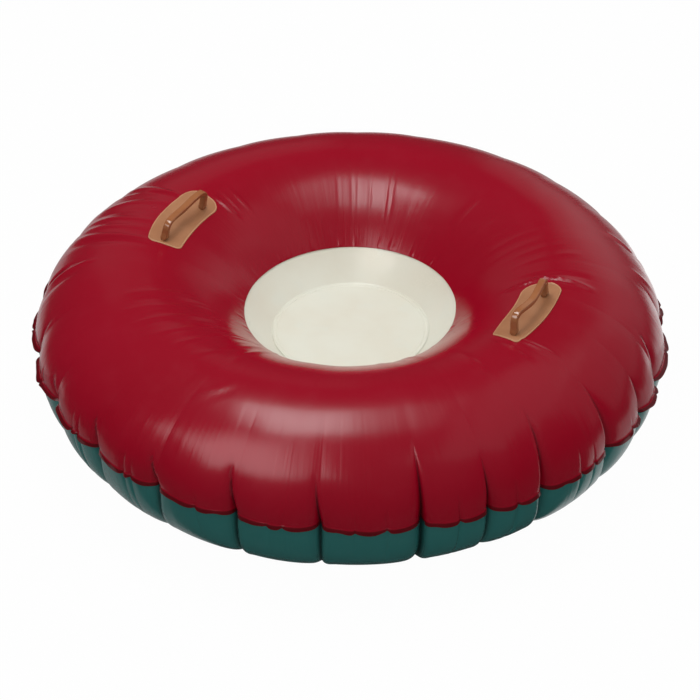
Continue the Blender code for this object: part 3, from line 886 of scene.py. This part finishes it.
print("the green skin is", round(1000 * GREEN_LENGTH), "mm from seam to well")

# %% The green skin
GREEN_ROWS = 62
WELD_TRAVEL = np.array([0, RIM_HEM])


def green_crowding(run):
    """Rows crowd at the seam."""
    return 1 + 3 * np.exp(-run / 0.035)


green_run_rows = crowded(0, GREEN_LENGTH, GREEN_ROWS, green_crowding)
green_way_rows = np.interp(green_run_rows, green_runs, green_ways)
green_outer = np.concatenate([
    hem(turns, HEM_SHARES[:, None], -1),
    green_skin(turns, green_way_rows[:, None]),
    *[in_space(turns, *behind_wall(WELD_DEPTH, RIM_SETBACK + travel))[None] for travel in WELD_TRAVEL],
])
row_count = len(green_outer)
green_inner_rows = np.unique([*FIRST_INNER_ROWS, *spread_rows(row_count - 3), row_count - 2, row_count - 1])
green_lay_runs = np.concatenate([hem_runs, green_run_rows, GREEN_LENGTH + RIM_FOLD + WELD_TRAVEL])
green_piece = piece(
    "green_skin",
    [(shell(green_outer, -SKIN, green_inner_rows), True, True)],
    green_vinyl,
    skin_values(green_lay_runs, green_inner_rows, GREEN_CREASE_PACE, 1.5 * SHADE_WIDTH),
)
stands_for(green_piece, "tube", "bottom_skin")

# %% [markdown]
# ## Cream sheet, and the sling seat
#
# The seat is a cone of satin sheet welded under the red rim, with a round floor welded on
# its lap. The floor's weld shows as a double line. A sling never hangs as a perfect cone:
# the wall has slow waves, and the floor dips a little.

# %% The seat's finish
def seat_finish(name, base, warm, cool):
    """Clouds between two creams, cool soft spots, a fine grain and slow dents."""
    finish = Finish(name)
    place = finish.place()
    cloud = finish.noise(place, 9.0, 3.0)
    grain = finish.noise(place, 700.0, 2.0, 0.6)
    soft = finish.noise(place, 26.0, 2.0)
    colour = finish.mixed(finish.ramp(cloud, 0.3, 0.7), base, warm)
    colour = finish.mixed(finish.ramp(soft, 0.55, 0.75) * 0.35, colour, cool)
    normal = finish.bumped(grain, 0.00003)
    normal = finish.bumped(soft, 0.0006, normal)
    return finish.done(colour, 0.20 + 0.08 * cloud + 0.04 * grain, 0.45, normal, 0.05, 0.15)


cream_vinyl = seat_finish("cream vinyl", screen(220, 220, 206), screen(217, 214, 198), screen(216, 219, 207))

# %% The seat's wall and floor
SEAT_COLUMNS = 384
WALL_WAVES = drawn_waves(11, 3, 17, 7)
WALL_WAVE = 0.0009
WALL_SAG = 0.0016
RIM_SPREAD = 0.0007
FLOOR_DISH = 0.0012
FLOOR_RIPPLE = 0.0006
BEAD_PLACES = (0.1242, 0.1190)
BEAD_HEIGHT = 0.0006
BEAD_WIDTH = 0.0009
seat_turns = np.linspace(-np.pi, np.pi, SEAT_COLUMNS, endpoint=False)


def wall(turn, share):
    """The cone: share 0 is the rim and 1 the floor; slow waves are deepest half way down."""
    under = SKIN + GAP
    radius = RIM_RADIUS + (SEAT_RADIUS - RIM_RADIUS) * share + RIM_SPREAD * (1 - share)
    height = RIM_HEIGHT - under + (SEAT_HEIGHT - RIM_HEIGHT) * share
    wave = summed(turn, WALL_WAVES) / len(WALL_WAVES)
    push = (WALL_WAVE * wave - WALL_SAG) * np.sin(np.pi * share)
    return in_space(turn, radius + push * WALL_UP[0], height + push * WALL_UP[1])


def floor_top(turn, share):
    """The disc: a slight dish, with two low beads where the weld presses it."""
    radius = (SEAT_RADIUS - SKIN) * share
    dish = -FLOOR_DISH * (1 - share**2)
    beads = sum(BEAD_HEIGHT * bell(radius - place, BEAD_WIDTH) for place in BEAD_PLACES)
    wave = summed(turn, WALL_WAVES) / len(WALL_WAVES)
    ripple = FLOOR_RIPPLE * wave * share**2 * (1 - share**6)
    return in_space(turn, radius, SEAT_HEIGHT + dish + beads + ripple)


hem_way = np.interp(RED_LENGTH - RIM_HEM * np.array([1.0, 0.6, 0.25]), red_runs, red_ways)
rim_slope = unit(np.array([RIM_RADIUS, RIM_HEIGHT]) - np.array(red_section(0.0, hem_way[2])))
under_rim = np.array([rim_slope[1], -rim_slope[0]]) * (SKIN + GAP)
hidden = [np.array(red_section(0.0, way)) - under_rim for way in hem_way]
wall_outer = np.concatenate([
    *[in_space(seat_turns, radius, height)[None] for radius, height in hidden],
    wall(seat_turns, np.linspace(0, 1, 26)[:, None]),
    in_space(seat_turns, SEAT_RADIUS - SEAT_LAP, SEAT_HEIGHT - SKIN - GAP)[None],
])
wall_shell = shell(wall_outer, SKIN, np.arange(len(wall_outer)))
wall_piece = piece("seat_cone", [(wall_shell, True, True)], cream_vinyl)
floor_shares = np.concatenate([[0], np.linspace(0.06, 0.90, 16), np.linspace(0.915, 1, 40)])
floor_outer = floor_top(seat_turns, floor_shares[:, None])
floor_under = floor_outer[::-1] - np.array([0, 0, SKIN])
floor_piece = piece("seat_disc", [(np.concatenate([floor_outer, floor_under]), False, True)], cream_vinyl)
stands_for(wall_piece, "tube", "seat_wall")
stands_for(floor_piece, "tube", "seat_floor")

# %% [markdown]
# ## Handle patches
#
# Each patch is a band of thicker sheet bent round the tube's axis, with tight corners in
# front and wide ones behind. It follows the red skin under it. Rings of points run from its
# outline to its middle, and its border stands up a little where the weld squeezed it.

# %% Sizes and outlines of the patches
PATCH_THICKNESS = 0.0010
PATCH_LENGTH = 0.155
PATCH_WIDTH = 0.062
PATCH_ADVANCE = 0.011
PATCH_POINTS = 320
PATCH_INSETS = np.array([0, 0.0003, 0.0008, 0.0014, 0.0022, 0.0031, 0.0042, 0.0060])
PATCH_EDGE = 0.0009
BORDER_BEAD = (0.00035, 0.0012, 0.0008)
BORDER_GROOVE = (-0.00030, 0.0033, 0.0009)
PATCH_MIDDLE = 0.025
SMALLEST_ROUND = 0.0004
SIDES = {"left": -1, "right": 1}
PATCH_RADII = {"left": 0.301, "right": 0.306}
# Roundings of the corners in metres: back outer, front outer, front inner, back inner
PATCH_ROUNDS = {"left": (0.025, 0.012, 0.009, 0.022), "right": (0.022, 0.006, 0.0025, 0.024)}
# How much narrower the front is on its outer and its inner side
PATCH_TAPERS = {"left": (0.25, 0.06), "right": (0.06, 0.48)}


def round_cornered(half_along, half_across, roundings, count):
    """A rectangle's outline with an arc of its own radius at each corner: (along, across)."""
    arc = np.linspace(0, np.pi / 2, count)
    parts = []
    for corner, (along, across) in enumerate(((1, 1), (-1, 1), (-1, -1), (1, -1))):
        kept = roundings[corner]
        middle = np.array([along * (half_along - kept), across * (half_across - kept)])
        turn = arc + corner * np.pi / 2
        parts.append(middle + kept * together(np.cos(turn), np.sin(turn)))
    return np.concatenate(parts)


def patch_ring(name, inset):
    """A patch's outline, drawn in by an inset, as evenly spaced points."""
    kept = [max(rounding - inset, SMALLEST_ROUND) for rounding in PATCH_ROUNDS[name]]
    corners = round_cornered(PATCH_LENGTH / 2 - inset, PATCH_WIDTH / 2 - inset, kept, 24)
    closed = np.concatenate([corners, corners[:1]])
    step = np.linalg.norm(np.diff(closed, axis=0), axis=1)
    travel = np.concatenate([[0], np.cumsum(step)]) / step.sum()
    even = np.linspace(0, 1, PATCH_POINTS, endpoint=False)
    along, across = (np.interp(even, travel, closed[:, k]) for k in range(2))
    outer, inner = PATCH_TAPERS[name]
    front = np.clip(-2 * along / PATCH_LENGTH, 0, 1) ** 2
    return together(along, across * (1 - np.where(across > 0, outer, inner) * front))


def on_red(x, y, lift):
    """The place over the red skin at a level position inside the crown, lifted off it."""
    turn = np.arctan2(y, x)
    inner = red_ways[red_ways >= 1]
    way = np.interp(-np.hypot(x, y), -red_section(0.0, inner)[0], inner)
    step = 2e-3
    rise = red_skin(turn, way - step) - red_skin(turn, way + step)
    along = red_skin(turn + 2 * step, way) - red_skin(turn - 2 * step, way)
    normal = np.cross(rise, along)
    normal *= np.sign(normal[..., 2:])
    return red_skin(turn, way) + lift * unit(normal)


def patch_grid(name):
    """Rings from the middle to the outline and back under it, and how far in each ring lies."""
    radius, side = PATCH_RADII[name], SIDES[name]
    rings = [patch_ring(name, inset) for inset in PATCH_INSETS]
    shares = np.linspace(0.94, 0, 22)
    flat = np.stack(rings + [rings[-1] * share for share in shares])
    depth = np.concatenate([PATCH_INSETS, PATCH_INSETS[-1] + PATCH_MIDDLE * (1 - shares)])[:, None]
    edge = np.sqrt(1 - (1 - np.clip(depth / PATCH_EDGE, 0, 1)) ** 2)
    relief = sum(height * bell(depth - place, width) for height, place, width in (BORDER_BEAD, BORDER_GROOVE))
    lift = GAP + (PATCH_THICKNESS + relief) * edge
    bend = flat[..., 0] / radius - math.asin(PATCH_ADVANCE / radius)
    reach = radius + flat[..., 1]
    x, y = side * reach * np.cos(bend), reach * np.sin(bend)
    top, under = on_red(x, y, lift[..., None]), on_red(x, y, GAP)
    lay = together(flat[..., 0], flat[..., 1], depth)
    return np.concatenate([top[::-1], under]), np.concatenate([lay[::-1], lay])


# %% [markdown]
# ## Tan sheet and moulded straps
#
# Patches and grips are the same tan vinyl, but the grips' tan is painted darker, as painted
# shade for their shaded sides. The grips are moulded, so they are smoother and glossier.
# Both have small dark specks, and a patch is paler along its squeezed border.

# %% The handles' finish
def tan_finish(name, light, dark, roughness, mirror, grain_height, border):
    """Clouds between two tans, dark specks, a grain, and a paler border where asked."""
    finish = Finish(name)
    place = finish.place()
    cloud = finish.noise(place, 24.0, 4.0)
    specks = finish.noise(place, 260.0, 3.0, 0.6)
    grain = finish.noise(place, 1100.0, 2.0)
    colour = finish.mixed(finish.ramp(cloud, 0.3, 0.7), dark, light)
    colour = finish.mixed(finish.ramp(specks, 0.55, 0.80) * 0.25, colour, screen(140, 88, 58))
    if border:
        rim = 1 - finish.ramp(finish.third(finish.stored("lay", "Vector")), 0.0010, 0.0028)
        colour = finish.mixed(rim * 0.6, colour, screen(202, 156, 118))
    normal = finish.bumped(grain, grain_height)
    normal = finish.bumped(cloud, 0.0004, normal)
    return finish.done(colour, roughness * (1 + 0.4 * cloud + 0.2 * specks), mirror, normal)


patch_vinyl = tan_finish("patch vinyl", screen(168, 116, 80), screen(158, 106, 71), 0.34, 0.35, 3e-5, True)
# Painted shade: the grip's tan is darker than the patch's, standing in for the shade on its sides.
grip_vinyl_painted_darker = tan_finish("grip vinyl", screen(156, 100, 64), screen(146, 90, 56), 0.07, 0.65, 5e-6, False)

for name in SIDES:
    patch_points, patch_lay = patch_grid(name)
    patch_values = {"lay": patch_lay.reshape(-1, 3)}
    made = piece(f"{name}_patch", [(patch_points, False, True)], patch_vinyl, patch_values)
    stands_for(made, "tube", f"{name}_handle_patch")

# %% [markdown]
# ## Grips
#
# A grip is one rounded section carried along a path: up from a rounded sole, round a corner,
# along a bar that sags in the middle, and down again. Each leans in towards the seat, and its
# bar bends round the tube's axis as the patch does.

# %% The grip's path and section
GRIP_HALF_SPACING = 0.055
FOOT_HALF = 0.006
GRIP_HALF_WIDTH = 0.00525
GRIP_HALF_THICKNESS = 0.0040
GRIP_RISE = 0.0268
GRIP_DIP = 0.0045
GRIP_CORNER = 0.012
GRIP_SLANT = 0.001
GRIP_ROUND = 0.0017
FLARE_FADE = 0.004
GRIP_LEANS = {"left": math.radians(13), "right": math.radians(4)}
GRIP_FAR_RISES = {"left": 0.0040, "right": 0.0}
GRIP_NEAR_DROPS = {"left": 0.0025, "right": 0.0}


def grip_half():
    """From a sole to the bar's middle: along, up, half thickness, half width of each station."""
    sole = np.radians(np.linspace(86, 0, 9))
    leg = np.linspace(0, GRIP_RISE - GRIP_CORNER, 9)[1:]
    flare = (FOOT_HALF - GRIP_HALF_THICKNESS) * np.exp(-leg / FLARE_FADE)
    slant = GRIP_HALF_SPACING - GRIP_SLANT * leg / leg[-1]
    bend = np.linspace(0, np.pi / 2, 15)[1:]
    top = GRIP_HALF_SPACING - GRIP_SLANT
    along = top - GRIP_CORNER * (1 - np.cos(bend))
    up = GRIP_RISE - GRIP_CORNER * (1 - np.sin(bend))
    share = np.linspace(1, 0, 16)[1:]
    dip = GRIP_DIP * np.cos(share * np.pi / 2) ** 2
    sole_up = -GRIP_HALF_WIDTH * np.sin(sole)
    return np.concatenate([
        together(GRIP_HALF_SPACING, sole_up, FOOT_HALF, GRIP_HALF_WIDTH * np.cos(sole)),
        together(slant, leg, GRIP_HALF_THICKNESS + flare, GRIP_HALF_WIDTH),
        together(along, up, GRIP_HALF_THICKNESS, GRIP_HALF_WIDTH),
        together(share * (top - GRIP_CORNER), GRIP_RISE - dip, GRIP_HALF_THICKNESS, GRIP_HALF_WIDTH),
    ])


def rounded_section(half_thickness, half_width, count=8):
    """A ring of points round a rectangle with round corners: (through, across) of each."""
    rounding = min(GRIP_ROUND, half_thickness * 0.9, half_width * 0.9)
    return round_cornered(half_thickness, half_width, [rounding] * 4, count)


def grip_grid(name):
    """The section at each station, in the frame of the grip's hinge."""
    side, lean, drop = SIDES[name], GRIP_LEANS[name], GRIP_NEAR_DROPS[name]
    joint = next(j for j in frame["record"]["behaviour"]["joints"] if j["name"] == f"{name}_grip_tilt")
    centre, rearward = np.array(joint["pos_m"]), unit(np.array(joint["axis"]))
    outward = unit(np.cross(rearward, [0, 0, side]))
    upward = np.cross(outward, rearward) * side
    up = upward * math.cos(lean) - outward * math.sin(lean)
    across = outward * math.cos(lean) + upward * math.sin(lean)
    half = grip_half()
    path = np.concatenate([half * [-1, 1, 1, 1], half[-2::-1]])
    tilt = (GRIP_FAR_RISES[name] + drop) * eased(path[:, 0], -0.05, 0.05) - drop
    path[:, 1] += tilt * eased(path[:, 1], 0.004, 0.014)
    ahead = unit(np.gradient(path[:, :2], axis=0))
    flat = path[:, 1] <= 0
    ahead[flat] = together(0, -np.sign(path[flat, 0]))
    reach = abs(centre[0])
    bow = np.sqrt(reach**2 - path[:, 0] ** 2) - math.sqrt(reach**2 - GRIP_HALF_SPACING**2)
    bow = np.where(path[:, 1] > 0, bow, 0)
    rings = []
    for (along, rise, thick, wide), (step_along, step_up), out in zip(path, ahead, bow):
        through = rearward * step_up - up * step_along
        middle = centre + rearward * along + up * rise + outward * out
        ring = rounded_section(thick, wide)
        rings.append(middle + ring[:, :1] * through + ring[:, 1:] * across)
    ends = [np.repeat(ring.mean(axis=0, keepdims=True), len(ring), axis=0) for ring in (rings[0], rings[-1])]
    return np.stack([ends[0], *rings, ends[1]])


for name in SIDES:
    made = piece(f"{name}_grip_strap", [(grip_grid(name), False, True)], grip_vinyl_painted_darker)
    stands_for(made, f"{name}_grip", f"{name}_handle_grip")

# %% [markdown]
# ## Air valve
#
# The valve is out of the photograph's sight, on the rear shoulder. Its base, plug and flap
# are turned profiles round the bore's axis, with a lug and a strap for the plug's hinge.

# %% Turned and extruded pieces in the valve's frame
BORE_RADIUS = 0.0070
SKIRT_DEPTH = 0.012
FLANGE_TOP = 0.0018
NECK_TOP = 0.0068
HINGE_RISE = 0.0081
HINGE_REACH = 0.0165
BARREL_RADIUS = 0.0014
BARREL_HALF = 0.003
PLUG_TIP_RADIUS = 0.0054
PLUG_TIP = 0.0018
PLUG_RADIUS = 0.0066
HEAD_RADIUS = 0.0105
HEAD_TOP = 0.0091
HEAD_DISH = 0.0086
FLAP_RADIUS = 0.0082
FLAP_TOP = -SKIRT_DEPTH - GAP
FLAP_UNDER = FLAP_TOP - 0.0007
ACROSS = (1, 0, 0)
# Half thickness and half width
LUG_HALVES = (0.0016, 0.0035)
STRAP_HALVES = (0.0007, 0.0030)


def in_valve(points):
    """Points given across, up the shoulder and out along the bore, brought to their place."""
    return VALVE_ORIGIN + points @ np.stack([VALVE_ACROSS, VALVE_UP, VALVE_OUT])


def softened(corners, rounding):
    """A line of corners with each inner corner cut by a parabola that starts rounding away."""
    corners = np.asarray(corners, float)
    share = np.linspace(0, 1, 5)[:, None]
    parts = [corners[:1]]
    for before, corner, after in zip(corners, corners[1:], corners[2:]):
        reach = min(rounding, np.linalg.norm(before - corner) / 2, np.linalg.norm(after - corner) / 2)
        start = corner + unit(before - corner) * reach
        end = corner + unit(after - corner) * reach
        parts.append((1 - share) ** 2 * start + 2 * share * (1 - share) * corner + share**2 * end)
    return np.concatenate([*parts, corners[-1:]])


def turned(corners, rounding):
    """A block for a piece: a softened profile of (radius, height) turned round the bore."""
    profile = softened(corners, rounding)
    turn = np.linspace(0, 2 * np.pi, 72, endpoint=False)
    return in_valve(in_space(turn, profile[:, :1], profile[:, 1:])), False, True


def bar(start, end, half_thickness, half_width, across):
    """A block for a piece: a rounded bar, with across as the direction of its width."""
    start, end, across = (np.asarray(v, float) for v in (start, end, across))
    ahead = unit(end - start)
    through = np.cross(across, ahead)
    length = np.linalg.norm(end - start)
    ring = rounded_section(half_thickness, half_width, 6)
    cut = GRIP_ROUND / 4
    small = 1 - cut / half_thickness
    stations = [(0, 0), (0, small), (cut, 1), (length - cut, 1), (length, small), (length, 0)]
    section = ring[:, :1] * through + ring[:, 1:] * across
    rings = [start + ahead * place + section * size for place, size in stations]
    return in_valve(np.stack(rings)), False, True


base_turned = turned([
    (BORE_RADIUS, -SKIRT_DEPTH), (BORE_RADIUS, NECK_TOP), (NECK_RADIUS, NECK_TOP), (NECK_RADIUS, FLANGE_TOP),
    (FLANGE_RADIUS, FLANGE_TOP), (FLANGE_RADIUS, GAP), (NECK_RADIUS, GAP), (NECK_RADIUS, -SKIRT_DEPTH),
    (BORE_RADIUS, -SKIRT_DEPTH),
], 0.0006)
lug_top = HINGE_RISE - BARREL_RADIUS - GAP
lug_bar = bar((0, HINGE_REACH, 0.0010), (0, HINGE_REACH, lug_top), *LUG_HALVES, ACROSS)
plug_turned = turned([
    (0, PLUG_TIP), (PLUG_TIP_RADIUS, PLUG_TIP), (PLUG_RADIUS, NECK_TOP + GAP), (HEAD_RADIUS, NECK_TOP + GAP),
    (HEAD_RADIUS, HEAD_TOP), (0.0078, HEAD_TOP), (0.0068, HEAD_DISH), (0, HEAD_DISH),
], 0.0005)
strap_bar = bar((0, 0.0085, HINGE_RISE), (0, HINGE_REACH, HINGE_RISE), *STRAP_HALVES, ACROSS)
barrel_start, barrel_end = ((x, HINGE_REACH, HINGE_RISE) for x in (-BARREL_HALF, BARREL_HALF))
barrel_bar = bar(barrel_start, barrel_end, BARREL_RADIUS, BARREL_RADIUS, (0, 1, 0))
flap_turned = turned([
    (0, FLAP_TOP), (FLAP_RADIUS, FLAP_TOP), (FLAP_RADIUS, FLAP_UNDER), (0, FLAP_UNDER),
], 0.0003)


# %% Their finishes and pieces
def moulded_finish(name, base, worn, roughness):
    """Small clouds between a base colour and a worn one, and a fine grain."""
    finish = Finish(name)
    place = finish.place()
    cloud = finish.noise(place, 90.0, 3.0)
    grain = finish.noise(place, 1400.0, 2.0)
    colour = finish.mixed(finish.ramp(cloud, 0.4, 0.75), base, worn)
    return finish.done(colour, roughness + 0.12 * cloud, 0.45, finish.bumped(grain, 1e-5))


base_vinyl = moulded_finish("valve base vinyl", screen(134, 3, 24), screen(146, 16, 38), 0.26)
plug_vinyl = moulded_finish("plug vinyl", screen(204, 204, 197), screen(192, 190, 178), 0.30)
valve_mount = piece("valve_mount", [base_turned, lug_bar], base_vinyl)
valve_stopper = piece("valve_stopper", [plug_turned, strap_bar, barrel_bar], plug_vinyl)
valve_disc = piece("valve_disc", [flap_turned], plug_vinyl)
stands_for(valve_mount, "tube", "valve_base")
stands_for(valve_stopper, "plug", "valve_plug")
stands_for(valve_disc, "flap", "valve_flap")

# %% [markdown]
# ## Camera
#
# The camera stands 2.8 m away and looks down at 36 degrees. Its long lens keeps the near
# side of the tube from looming, and the tube nearly fills the picture.

# %% Camera
CAMERA_PLACE = (1.0387, -2.0039, 1.7806)
CAMERA_AIM = (0.0106, -0.0238, 0.0847)
CAMERA_LENS = 90.0
CAMERA_ROLL = -0.0217
VIEW_TURN = math.radians(27.4)


def looking(place, aim):
    """The turn that points an object's -Z from place to aim, with Y up."""
    return (Vector(aim) - Vector(place)).to_track_quat("-Z", "Y").to_matrix()


lens = bpy.data.cameras.new("camera")
lens.lens = CAMERA_LENS
lens.sensor_width = 36
lens.clip_start, lens.clip_end = 0.05, 60
camera_turn = looking(CAMERA_PLACE, CAMERA_AIM) @ Matrix.Rotation(CAMERA_ROLL, 3, "Z")
scene.camera = put_in_scene("camera", lens)
scene.camera.matrix_world = Matrix.Translation(CAMERA_PLACE) @ camera_turn.to_4x4()
print("the camera is", round((Vector(CAMERA_PLACE) - Vector(CAMERA_AIM)).length, 2), "m away")

# %% [markdown]
# ## Light
#
# Gloss shows its surroundings, so most lamps are here for what is mirrored in the vinyl. A
# long box hangs overhead, in four stretches that grow darker to the right. One in front to
# the left and one behind to the right are nested boxes, which makes their edges soft. Low
# cards mirror a pale floor in the tube's lower side. Five broad lights from the sky do most
# of the lighting and aren't mirrored. Places are as the camera sees them: right, away, up.

# %% Lamps
# Name, place, width and depth, radiance
OVERHEAD_BOXES = (
    ("overhead left", (-0.375, 0.10, 2.0), (0.41, 0.8), 8.6),
    ("overhead", (-0.06, 0.10, 2.0), (0.22, 0.8), 5.7),
    ("overhead right", (0.16, 0.10, 2.0), (0.22, 0.8), 2.4),
    ("overhead edge", (0.44, 0.10, 2.0), (0.34, 0.8), 0.7),
)
SIDE_BOXES = (
    ("right", (2.4, 0.6, 1.2), (2.0, 2.0), 0.27),
    ("rear left", (-0.9, 3.0, 1.5), (1.8, 1.6), 0.12),
)
LOW_CARDS = (
    ("low rear", (0.0, 0.75, 0.002), (2.6, 1.3), 0.5),
    ("low right", (0.55, 0.08, 0.003), (0.9, 0.9), 0.72),
    ("low left", (-0.6, 0.0, 0.003), (0.8, 0.8), 0.3),
)
# Name, direction that the light comes from, the angle it is spread over, strength
SKIES = (
    ("sky above", (-0.05, 0.2, 1.0), 130, 1.15),
    ("sky behind", (0, 1.0, 0.75), 100, 0.60),
    ("sky left", (-1.0, 0, 0.75), 100, 0.20),
    ("sky right", (1.0, 0, 0.75), 100, 0.18),
    ("sky front", (0, -1.0, 0.75), 100, 0.93),
)
FRONT_RADIANCE = 4.6
REAR_RIGHT_RADIANCE = 0.52
ALL_ROUND = 0.05


def seen_place(right, away, up):
    """A place given as the camera sees it, turned with the view."""
    return Matrix.Rotation(VIEW_TURN, 3, "Z") @ Vector((right, away, up))


def soft_box(name, place, size, radiance, aim=None):
    """A rectangle whose brightness is a radiance, where 1 is a lit white sheet. Its power is
    the radiance times pi times its area. It faces down unless it has an aim."""
    lamp = bpy.data.lights.new(name, "AREA")
    lamp.shape = "RECTANGLE"
    lamp.size, lamp.size_y = size
    lamp.energy = radiance * math.pi * size[0] * size[1]
    made = put_in_scene(name, lamp)
    made.location = seen_place(*place)
    made.rotation_euler = (0, 0, VIEW_TURN)
    if aim is not None:
        made.rotation_euler = looking(made.location, seen_place(*aim)).to_euler()
    return made


def mirrored_only(lamp):
    """The lamp shows in gloss, but sheds no light on matt colours and isn't seen itself."""
    lamp.visible_diffuse = False
    lamp.visible_camera = False


for box in OVERHEAD_BOXES:
    soft_box(*box)
for size in (0.76, 0.98, 1.20):
    place = (-0.70, -0.86, 1.16 - 0.01 * size)
    mirrored_only(soft_box(f"front {size}", place, (0.86 * size, 0.80 * size), FRONT_RADIANCE / 3))
mirrored_only(soft_box("wide right", (1.5, -0.2, 2.1), (1.4, 2.6), 0.45))
for box in SIDE_BOXES:
    soft_box(*box, aim=(0, 0, 0.1))
for size in (0.6, 1.0, 1.4):
    place, box_size = (1.0, 1.1 + 0.01 * size, 0.62), (size, 0.66 * size)
    mirrored_only(soft_box(f"rear right {size}", place, box_size, REAR_RIGHT_RADIANCE / 3, aim=(0.3, 0, 0.2)))
for card in LOW_CARDS:
    low_card = soft_box(*card)
    low_card.rotation_euler = (math.pi, 0, VIEW_TURN)
    mirrored_only(low_card)
for name, towards, spread, strength in SKIES:
    lamp = bpy.data.lights.new(name, "SUN")
    lamp.angle = math.radians(spread)
    lamp.energy = strength
    sky = put_in_scene(name, lamp)
    sky.rotation_euler = looking(seen_place(*towards), (0, 0, 0)).to_euler()
    sky.visible_glossy = False
print(len(bpy.data.lights), "lamps")

# %% [markdown]
# ## Floor and background
#
# The floor carries the tube's shadow, and a dim glow fills in from all round. To the camera
# both are white, as they are behind a thing that is photographed in a studio.

# %% World and floor
FLOOR_RADIUS = 14.0
FLOOR_WHITE = 0.98


def show_white(finish, shader, white_kind, output, share):
    """Links a shader to the tree's output, mixed with plain white for the camera's rays only."""
    rays = Level(finish, finish.node("ShaderNodeLightPath", {}, {}).outputs["Is Camera Ray"])
    white = finish.node(white_kind, {}, {"Color": (1, 1, 1, 1), "Strength": 1.0})
    values = {0: rays * share, 1: shader.outputs[0], 2: white.outputs[0]}
    mix = finish.node("ShaderNodeMixShader", {}, values)
    finish.put(finish.tree.nodes[output].inputs["Surface"], mix.outputs[0])


world = Finish("studio", bpy.data.worlds)
scene.world = world.owner
glow = world.node("ShaderNodeBackground", {}, {"Color": (1, 1, 1, 1), "Strength": ALL_ROUND})
show_white(world, glow, "ShaderNodeBackground", "World Output", 1.0)
floor_finish = Finish("floor")
pale = floor_finish.node("ShaderNodeBsdfDiffuse", {}, {"Color": (0.60, 0.60, 0.60, 1)})
show_white(floor_finish, pale, "ShaderNodeEmission", "Material Output", FLOOR_WHITE)

floor_mesh = bpy.data.meshes.new("floor")
ring = np.linspace(0, 2 * np.pi, 96, endpoint=False)
floor_mesh.from_pydata(in_space(ring, FLOOR_RADIUS, 0).tolist(), [], [list(range(len(ring)))])
floor_mesh.materials.append(floor_finish.owner)
stage_floor = put_in_scene("stage_floor", floor_mesh)
stage_floor.visible_glossy = False
print("the floor is", 2 * FLOOR_RADIUS, "m across")

# %% [markdown]
# ## Last lines
#
# The colours must reach the picture as they are written.

# %% Finish
bpy.context.scene.view_settings.view_transform = "Standard"
